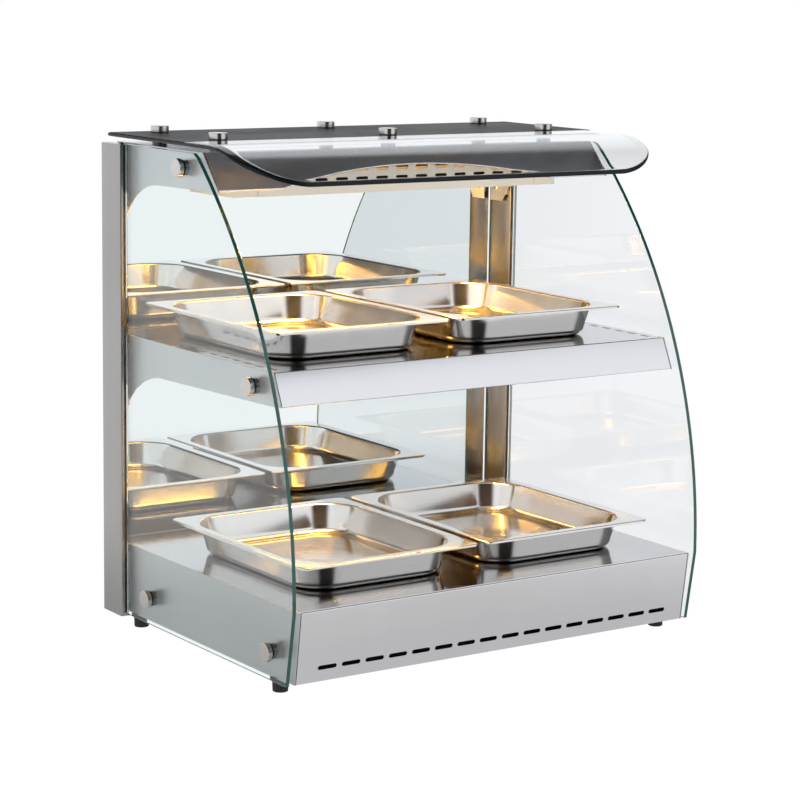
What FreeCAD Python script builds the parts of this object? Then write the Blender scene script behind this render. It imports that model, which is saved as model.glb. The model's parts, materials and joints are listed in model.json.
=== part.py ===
import FreeCAD, Part
import math
import os
from FreeCAD import Vector as V

# Two-tier countertop hot food display case, in millimetres.
# X runs from left to right, Y from the customer's side (-Y) to the staff side (+Y), Z is up.
# The origin is the centre of the footprint, on the surface that the feet stand on.

# Case
SHEET = 1.2                    # stainless sheet
CASE_X = 303.0                 # outer face of the side panels, either side of the middle
INNER_X = CASE_X - SHEET       # inner face of the side panels
FIT = 0.2                      # sheet parts are cut this much short of their neighbours
REAR_Y = 220.2                 # rear face of base, shelf and canopy
FOOT_H = 18.0
DECK_Z = 110.0                 # top of the base deck
SHELF_Z = 390.0                # top of the shelf deck
SHELF_LOW_Z = 350.0            # bottom edge of the shelf fascia
SHELF_UNDER_Z = 351.0          # underside panel of the shelf
CANOPY_LOW_Z = 594.0           # bottom edge of the canopy fascia
CANOPY_UNDER_Z = 593.0         # underside panel of the canopy
CANOPY_Z = 640.0               # top of the canopy

# Front faces, as (Y, Z) of their upper and lower edges
BASE_FRONT = ((-238.2, DECK_Z), (-226.4, FOOT_H))
SHELF_FRONT = ((-173.2, SHELF_Z), (-191.7, SHELF_LOW_Z))
CANOPY_FRONT = ((-3.8, CANOPY_Z), (-43.3, CANOPY_LOW_Z))

# Posts
POST_X = (307.0, 321.4)
POST_Y = (177.4, 228.6)
POST_Z = (14.4, 638.3)
POST_WALL = 1.2
POST_CAP = 1.5                 # visible thickness of a post's end cap
POST_ROUND = 2.0
SPACER_Y = (182.0, 216.0)      # blocks between posts and side panels
SPACER_Z = ((30.0, 100.0), (297.0, 380.0), (550.0, 630.0))
POST_SCREW_Y = 206.0
POST_CAP_SCREW = (314.2, 186.0)
SCREW_R = 2.0
SCREW_HOLE_R = 2.2
FOOT_X = 296.0
FOOT_Y = (-183.0, 169.0)

# Side glass
GLASS_T = 5.0
GLASS_X = (309.7, 314.7)
GLASS_FRONT_Y = -239.7         # foremost point of the edge, level with the base deck
GLASS_LOW = (-225.0, 17.5)     # lower front corner
GLASS_REAR_Y = 174.4
GLASS_TOP_Z = 639.0
GLASS_R = 713.0                # radius of the curved front edge

# Round standoffs
CAP_R = 12.0
BARREL_R = 9.5
WASHER_R = 10.0
WASHER_T = 0.7
STUD_R = 3.0
STUD_HOLE_R = 3.2
GLASS_HOLE_R = 4.0
CAP_X = 321.7                  # outer face of a side cap
SIDE_STANDOFFS = ((31.0, 619.0), (-140.0, 370.0), (116.0, 51.0), (-185.0, 52.0))
TOP_STANDOFFS = [(x, y) for y in (190.0, 39.0) for x in (-256.0, 0.0, 256.0)]

# Bent top glass
TOP_GLASS_X = 320.0
TOP_GLASS_Z = (647.0, 652.0)
TOP_GLASS_Y = (-36.3, 213.1)   # flat stretch
TOP_BEND_R = 200.0
TOP_BEND = math.radians(34.0)
TOP_LIP = 10.5                 # straight stretch beyond the bend, before the outline is cut
TOP_FRONT_Y = -156.3
TOP_CORNER = (90.0, 65.0)      # half-axes of the rounded front corners, along X and Y
TOP_CAP_Z = 660.5              # top face of the caps, the highest point of the case

# Lamp housing, under the canopy
HOUSING_X = 252.0
HOUSING_BODY_X = 217.0         # the end covers begin here
HOUSING_Y = (6.0, 114.0)
HOUSING_Z = (581.0, 626.0)
HOUSING_WALL = 1.0
HOUSING_SLOTS = (13, 31.0)     # number in a row, and their pitch
HOUSING_SLOT = (19.0, 7.0)
HOUSING_ROWS = (598.0, 613.5)
ARCH_HALF = 208.0              # arched cut-out in the canopy fascia
ARCH_RISE = 23.0

# Gastronorm half-size pans
PAN_SIZE = (265.0, 325.0)
PAN_DEPTH = 40.0
PAN_WALL = 0.8
PAN_BOTTOM = (112.0, 142.0)    # half-sizes of the body at its floor
PAN_MOUTH = (120.5, 150.5)     # and at its mouth
PAN_CORNERS = (40.0, 46.0)     # corner radius at the floor and at the mouth
PAN_EDGE = 9.0                 # radius between floor and wall
PAN_FLANGE_CORNER = 9.0
PAN_RIM_T = 1.0
PAN_RIM_H = 3.0
PAN_GAP = 0.4                  # under the pan, so that it slides freely
PAN_LOWER = ((-138.0, -30.0), (138.0, -30.0))
PAN_UPPER = ((-146.0, 28.0), (129.5, 28.0))

# Rear doors
DOOR_X = 305.0
DOOR_Y = (226.6, 231.6)
DOOR_LOWER_Z = (98.0, 364.0)
DOOR_UPPER_Z = (376.0, 604.0)
PIVOT = (-297.0, 229.1)        # door axis, in X and Y
PIVOT_R = 3.0
PIVOT_PLAY = 0.05
BRACKET_Z = (91.0, 368.0, 608.0)
BRACKET_T = 4.0
CLAMP_H = 20.0
CLAMP_X = (-303.5, -281.0)
CLAMP_T = 2.0
PIN_REACH = 3.6                # of the pivot pin beyond its clamp
PULL_X = (280.0, 294.0)
PULL_H = 80.0
BRACKET_X = (-306.0, -266.0)
BRACKET_Y = 234.0
BRACKET_FOOT = 18.0            # width of the foot on the rear panel
CATCH_X = 284.0
CATCH_INSET = 6.0              # from the end of the mirror to the middle of the catch
CATCH_HALF = 4.5
CATCH_PLAY = 0.3
STRIKE_T = 1.0

# Controls on the base rear panel, as (X, Z)
KNOB_AT = (-180.0, 60.0)
ROCKERS_AT = ((-112.0, 60.0), (-72.0, 60.0))
INDICATOR_AT = (-232.0, 60.0)
INLET_AT = (230.0, 60.0)
INLET_BODY = (15.5, 11.5)      # half-width and half-height of the appliance inlet's body
INLET_MOUTH = (13.0, 9.2)

SIDES = {"left": -1, "right": 1}


# Helpers

def box(x, y, z):
    return Part.makeBox(x[1] - x[0], y[1] - y[0], z[1] - z[0], V(x[0], y[0], z[0]))


def rod(start, end, radius):
    run = V(*end) - V(*start)
    return Part.makeCylinder(radius, run.Length, V(*start), run)


def loop(place, steps):
    """Closed wire. A step is a point for a straight edge, or (middle, end) for an arc."""
    edges = []
    here = steps[0]
    for step in steps[1:] + steps[:1]:
        if isinstance(step[0], tuple):
            middle, end = step
            edges.append(Part.Arc(place(here), place(middle), place(end)).toShape())
        else:
            end = step
            if math.dist(here, end) > 1e-6:
                edges.append(Part.LineSegment(place(here), place(end)).toShape())
        here = end
    return Part.Wire(edges)


def prism_x(steps, x):
    wire = loop(lambda p: V(x[0], p[0], p[1]), steps)
    return Part.Face(wire).extrude(V(x[1] - x[0], 0, 0))


def prism_y(steps, y):
    wire = loop(lambda p: V(p[0], y[0], p[1]), steps)
    return Part.Face(wire).extrude(V(0, y[1] - y[0], 0))


def prism_z(steps, z):
    wire = loop(lambda p: V(p[0], p[1], z[0]), steps)
    return Part.Face(wire).extrude(V(0, 0, z[1] - z[0]))


def turned(steps, centre, axis):
    """Solid of revolution. Steps are (radius, height along the axis)."""
    along = V(*axis)
    out = V(0, 0, 1) if abs(along.z) < 0.5 else V(1, 0, 0)
    wire = loop(lambda p: V(*centre) + out * p[0] + along * p[1], steps)
    return Part.Face(wire).revolve(V(*centre), along, 360)


def dome(radius, low, high):
    """Arc step of a spherical cap: from the radius at the lower height to the axis at the upper one."""
    rise = high - low
    ball = (radius ** 2 + rise ** 2) / (2 * rise)
    half = math.asin(min(1.0, radius / ball)) / 2
    return (ball * math.sin(half), high - ball + ball * math.cos(half)), (0, high)


def rounded_rect(half_x, half_y, radius, centre=(0.0, 0.0)):
    """Steps of a rectangle with round corners, anticlockwise."""
    cx, cy = centre
    near = radius * (1 - math.sqrt(0.5))
    steps = []
    for sx, sy in ((1, -1), (1, 1), (-1, 1), (-1, -1)):
        corner = (cx + sx * half_x, cy + sy * half_y)
        along_x = (corner[0] - sx * radius, corner[1])
        along_y = (corner[0], corner[1] - sy * radius)
        middle = (corner[0] - sx * near, corner[1] - sy * near)
        first, last = (along_x, along_y) if sx * sy < 0 else (along_y, along_x)
        steps += [first, (middle, last)]
    return steps


def slot_steps(centre, length, width):
    """Steps of a slot with round ends, long in the first direction."""
    a, b = centre
    r = width / 2
    h = length / 2 - r
    right = ((a + h + r, b), (a + h, b + r))
    left = ((a - h - r, b), (a - h, b - r))
    return [(a + h, b - r), right, (a - h, b + r), left]


def cut_all(shape, tools):
    return shape.cut(Part.makeCompound(tools)) if tools else shape


def fuse_all(shapes):
    return shapes[0].multiFuse(shapes[1:]).removeSplitter()


def flipped(shape):
    return shape.mirror(V(0, 0, 0), V(1, 0, 0))


def both_sides(shapes):
    return shapes + [flipped(s) for s in shapes]


def group(shapes):
    return Part.makeCompound(shapes)


def on_side(shape, side):
    return shape if side > 0 else flipped(shape)


def leaning_sheet(front, inset, x):
    """Sheet whose outer face joins two (Y, Z) edges."""
    (y1, z1), (y0, z0) = front
    return prism_x([(y1, z1), (y0, z0), (y0 + inset, z0), (y1 + inset, z1)], x)


# Frame: posts, feet and the fasteners between posts and case

def post(side):
    outer = box(POST_X, POST_Y, (POST_Z[0] + POST_CAP, POST_Z[1] - POST_CAP))
    upright = [e for e in outer.Edges if abs(e.tangentAt(e.FirstParameter).z) > 0.9]
    outer = outer.makeFillet(POST_ROUND, upright)
    x = (POST_X[0] + POST_WALL, POST_X[1] - POST_WALL)
    y = (POST_Y[0] + POST_WALL, POST_Y[1] - POST_WALL)
    shape = outer.cut(box(x, y, (POST_Z[0] - 1, POST_Z[1] + 1)))
    return on_side(cut_all(shape, post_screw_cutters((POST_X[0] - 1, POST_X[0] + 3))), side)


def post_end_caps():
    """Flat caps with a plug inside the tube. The upper cap takes a screw."""
    x, y = POST_CAP_SCREW
    hole = rod((x, y, POST_Z[1] - 10), (x, y, POST_Z[1] + 1), SCREW_HOLE_R)
    caps = []
    x_in = (POST_X[0] + POST_WALL + 0.1, POST_X[1] - POST_WALL - 0.1)
    y_in = (POST_Y[0] + POST_WALL + 0.1, POST_Y[1] - POST_WALL - 0.1)
    for plate_z, plug_z in (((POST_Z[1] - POST_CAP, POST_Z[1]), (POST_Z[1] - 8, POST_Z[1] - POST_CAP)),
                            ((POST_Z[0], POST_Z[0] + POST_CAP), (POST_Z[0] + POST_CAP, POST_Z[0] + 8))):
        plate = box(POST_X, POST_Y, plate_z)
        upright = [e for e in plate.Edges if abs(e.tangentAt(e.FirstParameter).z) > 0.9]
        caps.append(fuse_all([plate.makeFillet(POST_ROUND, upright), box(x_in, y_in, plug_z)]).cut(hole))
    return group(both_sides(caps))


def post_screw_places():
    return [(POST_SCREW_Y, z) for low, high in SPACER_Z for z in (low + 8.0, high - 8.0)]


def post_screw_cutters(x):
    return [rod((x[0], y, z), (x[1], y, z), SCREW_HOLE_R) for y, z in post_screw_places()]


def post_spacers():
    blocks = [box((CASE_X, POST_X[0]), SPACER_Y, z) for z in SPACER_Z]
    holes = post_screw_cutters((CASE_X - 1, POST_X[0] + 1))
    return group(both_sides([cut_all(block, holes) for block in blocks]))


def screw(at, axis, length):
    """Domed screw. The head's underside is at the given place and the shank runs along the axis."""
    head_r, head_h = 4.0, 2.4
    along = V(*axis)
    head = turned([(0, 0), (head_r, 0), (head_r, 0.5), dome(head_r, 0.5, head_h)], at, [-a for a in axis])
    shank = Part.makeCylinder(SCREW_R, length, V(*at), along)
    socket = Part.makeCylinder(1.3, 1.5, V(*at) - along * head_h, along)
    return fuse_all([shank, head]).cut(socket)


def screws():
    """Screws through side panels and spacers into the posts, up through the feet, and into the end caps."""
    placed = [screw((INNER_X, y, z), (1, 0, 0), 9.0) for y, z in post_screw_places()]
    placed += [screw((FOOT_X, y, 7.0), (0, 0, 1), 18.0) for y in FOOT_Y]
    placed.append(screw((POST_CAP_SCREW[0], POST_CAP_SCREW[1], POST_Z[1]), (0, 0, -1), 6.0))
    return group(both_sides(placed))


def feet():
    """Tapered rubber foot with a recess below for its screw."""
    profile = [(5.0, 0), (8.6, 0), ((9.3, 0.3), (9.6, 1.0)), (10.4, FOOT_H), (SCREW_HOLE_R, FOOT_H),
               (SCREW_HOLE_R, 7.0), (5.0, 7.0)]
    return group(both_sides([turned(profile, (FOOT_X, y, 0), (0, 0, 1)) for y in FOOT_Y]))


# Base box

def base_pan():
    plate = box((-INNER_X + FIT, INNER_X - FIT), (BASE_FRONT[1][0] + 1.4, REAR_Y), (FOOT_H, FOOT_H + SHEET))
    feet_at = [(s * FOOT_X, y) for s in SIDES.values() for y in FOOT_Y]
    holes = [rod((x, y, FOOT_H - 1), (x, y, FOOT_H + 3), SCREW_HOLE_R) for x, y in feet_at]
    for row_y in (-60.0, 60.0):
        for k in range(9):
            steps = slot_steps((-160.0 + 40.0 * k, row_y), 24.0, 5.0)
            holes.append(prism_z(steps, (FOOT_H - 1, FOOT_H + 3)))
    return cut_all(plate, holes)


def vent_row(count, pitch, centre_z, length, height, y):
    """Cutters of a row of round-ended slots along X, through a sheet that faces -Y."""
    first = -pitch * (count - 1) / 2
    return [prism_y(slot_steps((first + pitch * k, centre_z), length, height), y) for k in range(count)]


def base_front_panel():
    sheet = leaning_sheet(BASE_FRONT, SHEET, (-INNER_X + FIT, INNER_X - FIT))
    return cut_all(sheet, vent_row(16, 34.4, FOOT_H + 17.8, 27.0, 5.5, (-240, -220)))


def base_side(side):
    (y1, z1), (y0, z0) = BASE_FRONT
    plate = prism_x([(y1, z1), (y0, z0), (REAR_Y, z0), (REAR_Y, z1)], (INNER_X, CASE_X))
    return on_side(cut_all(plate, side_panel_cutters()), side)


def side_panel_cutters():
    """Holes in the side panels for the standoff studs and the screws of the posts."""
    x = (INNER_X - 1, CASE_X + 1)
    return [rod((x[0], y, z), (x[1], y, z), STUD_HOLE_R) for y, z in SIDE_STANDOFFS] + post_screw_cutters(x)


def base_deck():
    y = (BASE_FRONT[0][0] + 1.4, REAR_Y)
    return box((-INNER_X + FIT, INNER_X - FIT), y, (DECK_Z - SHEET, DECK_Z))


def base_rear_panel():
    z = (FOOT_H + SHEET + FIT, DECK_Z - SHEET - FIT)
    plate = box((-INNER_X + FIT, INNER_X - FIT), (REAR_Y - SHEET, REAR_Y), z)
    y = (REAR_Y - 3, REAR_Y + 3)
    holes = [rod((x, y[0], z), (x, y[1], z), r) for (x, z), r in ((KNOB_AT, 4.0), (INDICATOR_AT, 4.6))]
    holes += [box((x - 8.1, x + 8.1), y, (z - 11.1, z + 11.1)) for x, z in ROCKERS_AT]
    x, z = INLET_AT
    half_w, half_h = INLET_BODY
    holes.append(box((x - half_w - FIT, x + half_w + FIT), y, (z - half_h - FIT, z + half_h + FIT)))
    return cut_all(plate, holes)


# Shelf and canopy

def cheek(front, low_z, arc_start, radius, tip, side):
    """Side panel of shelf or canopy, with a gusset that curves down to the post."""
    (y1, z1), (y0, z0) = front
    start = (arc_start, low_z)
    centre_z = low_z - radius
    sweep = math.asin((tip[0] - arc_start) / radius)
    middle = (arc_start + radius * math.sin(sweep / 2), centre_z + radius * math.cos(sweep / 2))
    end = (tip[0], centre_z + radius * math.cos(sweep))
    rear = REAR_Y - SHEET
    steps = [(y1, z1), (y0, z0), start, (middle, end), (tip[0], tip[1]), (rear, tip[1]), (rear, z1)]
    plate = prism_x(steps, (INNER_X, CASE_X))
    return on_side(cut_all(plate, side_panel_cutters()), side)


def shelf_side(side):
    return cheek(SHELF_FRONT, SHELF_LOW_Z - 5.5, 91.7, 121.6, (193.7, 288.0), side)


def canopy_side(side):
    return cheek(CANOPY_FRONT, CANOPY_UNDER_Z - 2.0, 104.7, 99.0, (190.7, 540.0), side)


def shelf_deck():
    y = (SHELF_FRONT[0][0] + 1.6, REAR_Y)
    plate = box((-INNER_X + FIT, INNER_X - FIT), y, (SHELF_Z - SHEET, SHELF_Z))
    slots = []
    for k in range(9):
        for x in (-289.0, 289.0):
            across = slot_steps((-150.0 + 27.0 * k, x), 17.0, 4.0)
            wire = loop(lambda p: V(p[1], p[0], SHELF_Z - 3), across)
            slots.append(Part.Face(wire).extrude(V(0, 0, 6)))
    return cut_all(plate, slots)


def shelf_fascia():
    return leaning_sheet(SHELF_FRONT, 1.35, (-INNER_X + FIT, INNER_X - FIT))


SHELF_WINDOW = ((-172.0, 172.0), (-10.0, 50.0))


def shelf_underside():
    """Underside panel with its folded rear edge and the window of the shelf lamp."""
    x = (-INNER_X + FIT, INNER_X - FIT)
    plate = box(x, (SHELF_FRONT[1][0] + 2.6, REAR_Y), (SHELF_UNDER_Z, SHELF_UNDER_Z + SHEET))
    fold = box(x, (REAR_Y - SHEET + 0.01, REAR_Y), (SHELF_UNDER_Z, SHELF_Z - SHEET - FIT))
    window = box(*SHELF_WINDOW, (SHELF_UNDER_Z - 1, SHELF_UNDER_Z + 3))
    return fuse_all([plate, fold]).cut(window)


def shelf_lamp_cover():
    x = (SHELF_WINDOW[0][0] - 6, SHELF_WINDOW[0][1] + 6)
    y = (SHELF_WINDOW[1][0] - 6, SHELF_WINDOW[1][1] + 6)
    z = SHELF_UNDER_Z + SHEET
    return box(x, y, (z, z + 3.0))


def canopy_top():
    x = (-INNER_X + FIT, INNER_X - FIT)
    plate = box(x, (CANOPY_FRONT[0][0] + 2.0, REAR_Y), (CANOPY_Z - SHEET, CANOPY_Z))
    z = (CANOPY_Z - 3, CANOPY_Z + 1)
    return cut_all(plate, [rod((x, y, z[0]), (x, y, z[1]), STUD_HOLE_R) for x, y in TOP_STANDOFFS])


def canopy_fascia():
    """Leaning front sheet. Its lower edge rises in a shallow arch over the lamp housing."""
    sheet = leaning_sheet(CANOPY_FRONT, 1.6, (-INNER_X + FIT, INNER_X - FIT))
    radius = (ARCH_HALF ** 2 + ARCH_RISE ** 2) / (2 * ARCH_RISE)
    centre_z = CANOPY_LOW_Z + ARCH_RISE - radius
    return sheet.cut(rod((0, -60, centre_z), (0, 20, centre_z), radius))


def canopy_underside():
    """Panel around the sides and rear of the lamp housing, with its folded rear edge."""
    x = (-INNER_X + FIT, INNER_X - FIT)
    plate = box(x, (HOUSING_Y[0], REAR_Y), (CANOPY_UNDER_Z, CANOPY_UNDER_Z + SHEET))
    fold = box(x, (REAR_Y - SHEET + 0.01, REAR_Y), (CANOPY_UNDER_Z, CANOPY_Z - SHEET - FIT))
    hollow = box((-HOUSING_X - 0.4, HOUSING_X + 0.4), (HOUSING_Y[0] - 1, HOUSING_Y[1] + 0.4), (580, 600))
    return fuse_all([plate, fold]).cut(hollow)


def lamp_housing():
    """Folded box with two rows of slots in front and two long windows below, open at both ends."""
    x = (-HOUSING_BODY_X, HOUSING_BODY_X)
    outer = box(x, HOUSING_Y, HOUSING_Z)
    inner = box((x[0] - 1, x[1] + 1), [HOUSING_Y[0] + HOUSING_WALL, HOUSING_Y[1] - HOUSING_WALL],
                [HOUSING_Z[0] + HOUSING_WALL, HOUSING_Z[1] - HOUSING_WALL])
    y = (HOUSING_Y[0] - 1, HOUSING_Y[0] + 3)
    slots = [slot for z in HOUSING_ROWS for slot in vent_row(*HOUSING_SLOTS, z, *HOUSING_SLOT, y)]
    windows = [box(wx, (30.0, 90.0), (HOUSING_Z[0] - 1, HOUSING_Z[0] + 3)) for wx in ((-202, -8), (8, 202))]
    return outer.cut(inner).cut(Part.makeCompound(slots + windows))


def lamp_end_covers():
    outer = box((HOUSING_BODY_X + 0.6, HOUSING_X), HOUSING_Y, HOUSING_Z)
    w = 2 * HOUSING_WALL
    inner = box((HOUSING_BODY_X - 1, HOUSING_X - w), (HOUSING_Y[0] + w, HOUSING_Y[1] - w),
                (HOUSING_Z[0] + w, HOUSING_Z[1] - w))
    return group(both_sides([outer.cut(inner)]))


def lamp_hangers():
    """Channels that hang the lamp housing from the canopy top."""
    z = (HOUSING_Z[1], CANOPY_Z - SHEET)
    outer = box((140.0, 170.0), (20.0, 100.0), z)
    inner = box((141.5, 168.5), (19.0, 101.0), (z[0] + 1.5, z[1] - 1.5))
    return group(both_sides([outer.cut(inner)]))


# Heaters and lamps

def serpentine(half_x, first_y, pitch, runs, z, radius):
    """Tubular heater in one plane: straight runs along X joined by half-circle bends."""
    edges = []
    bend = pitch / 2
    for k in range(runs):
        y = first_y + pitch * k
        side = 1 if k % 2 == 0 else -1
        end = V(side * half_x, y, z)
        edges.append(Part.LineSegment(V(-side * half_x, y, z), end).toShape())
        if k < runs - 1:
            edges.append(Part.Arc(end, end + V(side * bend, bend, 0), end + V(0, pitch, 0)).toShape())
    ring = Part.Wire(Part.makeCircle(radius, V(-half_x, first_y, z), V(1, 0, 0)))
    return Part.Wire(edges).makePipeShell([ring], True, True)


def deck_heater():
    return serpentine(210.0, -150.0, 75.0, 4, DECK_Z - SHEET - 4.3, 4.0)


def shelf_heater():
    return serpentine(210.0, -110.0, 75.0, 4, SHELF_Z - SHEET - 3.8, 3.5)


# Each lamp's axis (Y, Z), and the height of the face that its holders stand on or hang from
HOUSING_CEILING = HOUSING_Z[1] - HOUSING_WALL
LAMPS = ((45.0, 604.0, HOUSING_CEILING), (75.0, 604.0, HOUSING_CEILING), (20.0, 368.0, SHELF_UNDER_Z + SHEET))
LAMP_HALF = 185.0
LAMP_SEAL = 8.0


def quartz_lamps():
    """Quartz tubes with a pinched seal at each end."""
    lamps = []
    for y, z, _ in LAMPS:
        body = rod((-LAMP_HALF, y, z), (LAMP_HALF, y, z), 4.0)
        seal = (y - 3.5, y + 3.5), (z - 1.5, z + 1.5)
        seals = [box((x, x + LAMP_SEAL), *seal) for x in (-LAMP_HALF - LAMP_SEAL, LAMP_HALF)]
        lamps.append(fuse_all([body] + seals))
    return group(lamps)


def lamp_holders():
    """Ceramic block at each end of each lamp, slotted for the lamp's seal."""
    holders = []
    for y, z, support in LAMPS:
        reach = (min(z - 7.0, support), max(z + 7.0, support))
        block = box((LAMP_HALF + 1.0, LAMP_HALF + 15.0), (y - 8.0, y + 8.0), reach)
        slot = box((LAMP_HALF, LAMP_HALF + 8.2), (y - 3.6, y + 3.6), (z - 1.6, z + 1.6))
        holders.append(block.cut(slot))
    return group(both_sides(holders))


# Glass and standoffs

def side_glass(side):
    """Pane with a curved front edge, a leaning stretch below the deck and a clipped top corner."""
    centre_y = GLASS_FRONT_Y + GLASS_R
    top = math.asin((GLASS_TOP_Z - 5.0 - DECK_Z) / GLASS_R)
    at = lambda a: (centre_y - GLASS_R * math.cos(a), DECK_Z + GLASS_R * math.sin(a))
    corner = at(top)
    steps = [(GLASS_REAR_Y, GLASS_LOW[1]), GLASS_LOW, at(0.0), (at(top / 2), corner),
             (corner[0] + 9.0, GLASS_TOP_Z), (GLASS_REAR_Y, GLASS_TOP_Z)]
    pane = prism_x(steps, GLASS_X)
    holes = [rod((GLASS_X[0] - 1, y, z), (GLASS_X[1] + 1, y, z), GLASS_HOLE_R) for y, z in SIDE_STANDOFFS]
    return on_side(cut_all(pane, holes), side)


def standoff_cap(face, height, outward):
    """Turned cap with its threaded stud. The cap's inner face is at the given place."""
    chamfer = 0.6
    steps = [(0, height), (CAP_R - chamfer, height), (CAP_R, height - chamfer), (CAP_R, 0), (STUD_R, 0),
             (STUD_R, -21.0), (0, -21.0)]
    return turned(steps, face, outward)


def ring(face, outward, radius, thickness):
    """Flat ring around a stud, from the given face outward."""
    hole = STUD_R + 0.1
    return turned([(hole, 0), (radius, 0), (radius, thickness), (hole, thickness)], face, outward)


def hex_nut(face, inward, across, thickness):
    along = V(*inward)
    out = V(0, 0, 1) if abs(along.z) < 0.5 else V(1, 0, 0)
    side = along.cross(out)
    r = across / math.sqrt(3)
    turns = [math.radians(60 * k) for k in range(6)]
    corners = [V(*face) + out * (r * math.cos(a)) + side * (r * math.sin(a)) for a in turns]
    nut = Part.Face(Part.makePolygon(corners + corners[:1])).extrude(along * thickness)
    return nut.cut(Part.makeCylinder(STUD_R + 0.1, thickness, V(*face), along))


def side_standoff_caps():
    inner = GLASS_X[1] + WASHER_T
    caps = [standoff_cap((inner, y, z), CAP_X - inner, (1, 0, 0)) for y, z in SIDE_STANDOFFS]
    return group(both_sides(caps))


def side_standoff_barrels():
    length = GLASS_X[0] - WASHER_T - CASE_X
    return group(both_sides([ring((CASE_X, y, z), (1, 0, 0), BARREL_R, length) for y, z in SIDE_STANDOFFS]))


def top_standoff_caps():
    inner = TOP_GLASS_Z[1] + WASHER_T
    return group([standoff_cap((x, y, inner), TOP_CAP_Z - inner, (0, 0, 1)) for x, y in TOP_STANDOFFS])


def top_standoff_barrels():
    length = TOP_GLASS_Z[0] - WASHER_T - CANOPY_Z
    return group([ring((x, y, CANOPY_Z), (0, 0, 1), BARREL_R, length) for x, y in TOP_STANDOFFS])


def glass_washers():
    rings = []
    for y, z in SIDE_STANDOFFS:
        for x in (GLASS_X[0] - WASHER_T, GLASS_X[1]):
            rings.append(ring((x, y, z), (1, 0, 0), WASHER_R, WASHER_T))
    rings = both_sides(rings)
    for x, y in TOP_STANDOFFS:
        for z in (TOP_GLASS_Z[0] - WASHER_T, TOP_GLASS_Z[1]):
            rings.append(ring((x, y, z), (0, 0, 1), WASHER_R, WASHER_T))
    return group(rings)


def standoff_nuts():
    side = both_sides([hex_nut((INNER_X, y, z), (-1, 0, 0), 10.0, 5.0) for y, z in SIDE_STANDOFFS])
    under = CANOPY_Z - SHEET
    return group(side + [hex_nut((x, y, under), (0, 0, -1), 10.0, 5.0) for x, y in TOP_STANDOFFS])


def top_glass():
    """Flat at the rear, bent down in front, with broad rounded front corners."""
    low, high = TOP_GLASS_Z
    y_bend, y_rear = TOP_GLASS_Y
    outer_r = TOP_BEND_R + GLASS_T / 2
    inner_r = TOP_BEND_R - GLASS_T / 2
    centre = (y_bend, high - outer_r)
    at = lambda r, a: (centre[0] - r * math.sin(a), centre[1] + r * math.cos(a))
    lip = (-TOP_LIP * math.cos(TOP_BEND), -TOP_LIP * math.sin(TOP_BEND))
    outer_end = at(outer_r, TOP_BEND)
    inner_end = at(inner_r, TOP_BEND)
    outer_tip = (outer_end[0] + lip[0], outer_end[1] + lip[1])
    inner_tip = (inner_end[0] + lip[0], inner_end[1] + lip[1])
    steps = [(y_rear, low), (y_rear, high), (y_bend, high), (at(outer_r, TOP_BEND / 2), outer_end),
             outer_tip, inner_tip, inner_end, (at(inner_r, TOP_BEND / 2), (y_bend, low))]
    bent = prism_x(steps, (-TOP_GLASS_X - 10, TOP_GLASS_X + 10))
    holes = [rod((x, y, low - 1), (x, y, high + 1), GLASS_HOLE_R) for x, y in TOP_STANDOFFS]
    return cut_all(bent.common(top_glass_plan()), holes)


def top_glass_plan():
    """Upright prism of the pane's outline in plan, with elliptical front corners."""
    a, b = TOP_CORNER
    low, height = 560.0, 140.0
    rear = TOP_GLASS_Y[1] + 10
    shoulder = TOP_FRONT_Y + b
    ends = [V(TOP_GLASS_X - a, TOP_FRONT_Y, low), V(a - TOP_GLASS_X, TOP_FRONT_Y, low)]
    edges = [Part.LineSegment(*ends).toShape()]
    for side, start in ((-1, math.pi), (1, 1.5 * math.pi)):
        ellipse = Part.Ellipse(V(side * (TOP_GLASS_X - a), shoulder, low), a, b)
        edges.append(Part.ArcOfEllipse(ellipse, start, start + math.pi / 2).toShape())
    ends = [V(-TOP_GLASS_X, shoulder, low), V(-TOP_GLASS_X, rear, low), V(TOP_GLASS_X, rear, low),
            V(TOP_GLASS_X, shoulder, low)]
    edges += [Part.LineSegment(p, q).toShape() for p, q in zip(ends, ends[1:])]
    return Part.Face(Part.Wire(Part.__sortEdges__(edges))).extrude(V(0, 0, height))


# Pans

def pan_section(height, half, corner, centre):
    wire_steps = rounded_rect(half[0], half[1], corner, centre)
    return loop(lambda p: V(p[0], p[1], height), wire_steps)


def pan_body(centre, floor_z, top_z, inset):
    """Tapered body with rounded lower edge, as a stack of rounded rectangles."""
    bottom = [half - inset for half in PAN_BOTTOM]
    top = [half - inset for half in PAN_MOUTH]
    corner_low, corner_high = [radius - inset for radius in PAN_CORNERS]
    edge = PAN_EDGE - inset
    wires = []
    spans = 5
    for k in range(spans + 1):
        a = math.pi / 2 * k / spans
        shrink = edge * (1 - math.sin(a))
        half = (bottom[0] - shrink, bottom[1] - shrink)
        wires.append(pan_section(floor_z + edge * (1 - math.cos(a)), half, corner_low - shrink, centre))
    wires.append(pan_section(top_z, top, corner_high, centre))
    return Part.makeLoft(wires, True, True)


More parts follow.
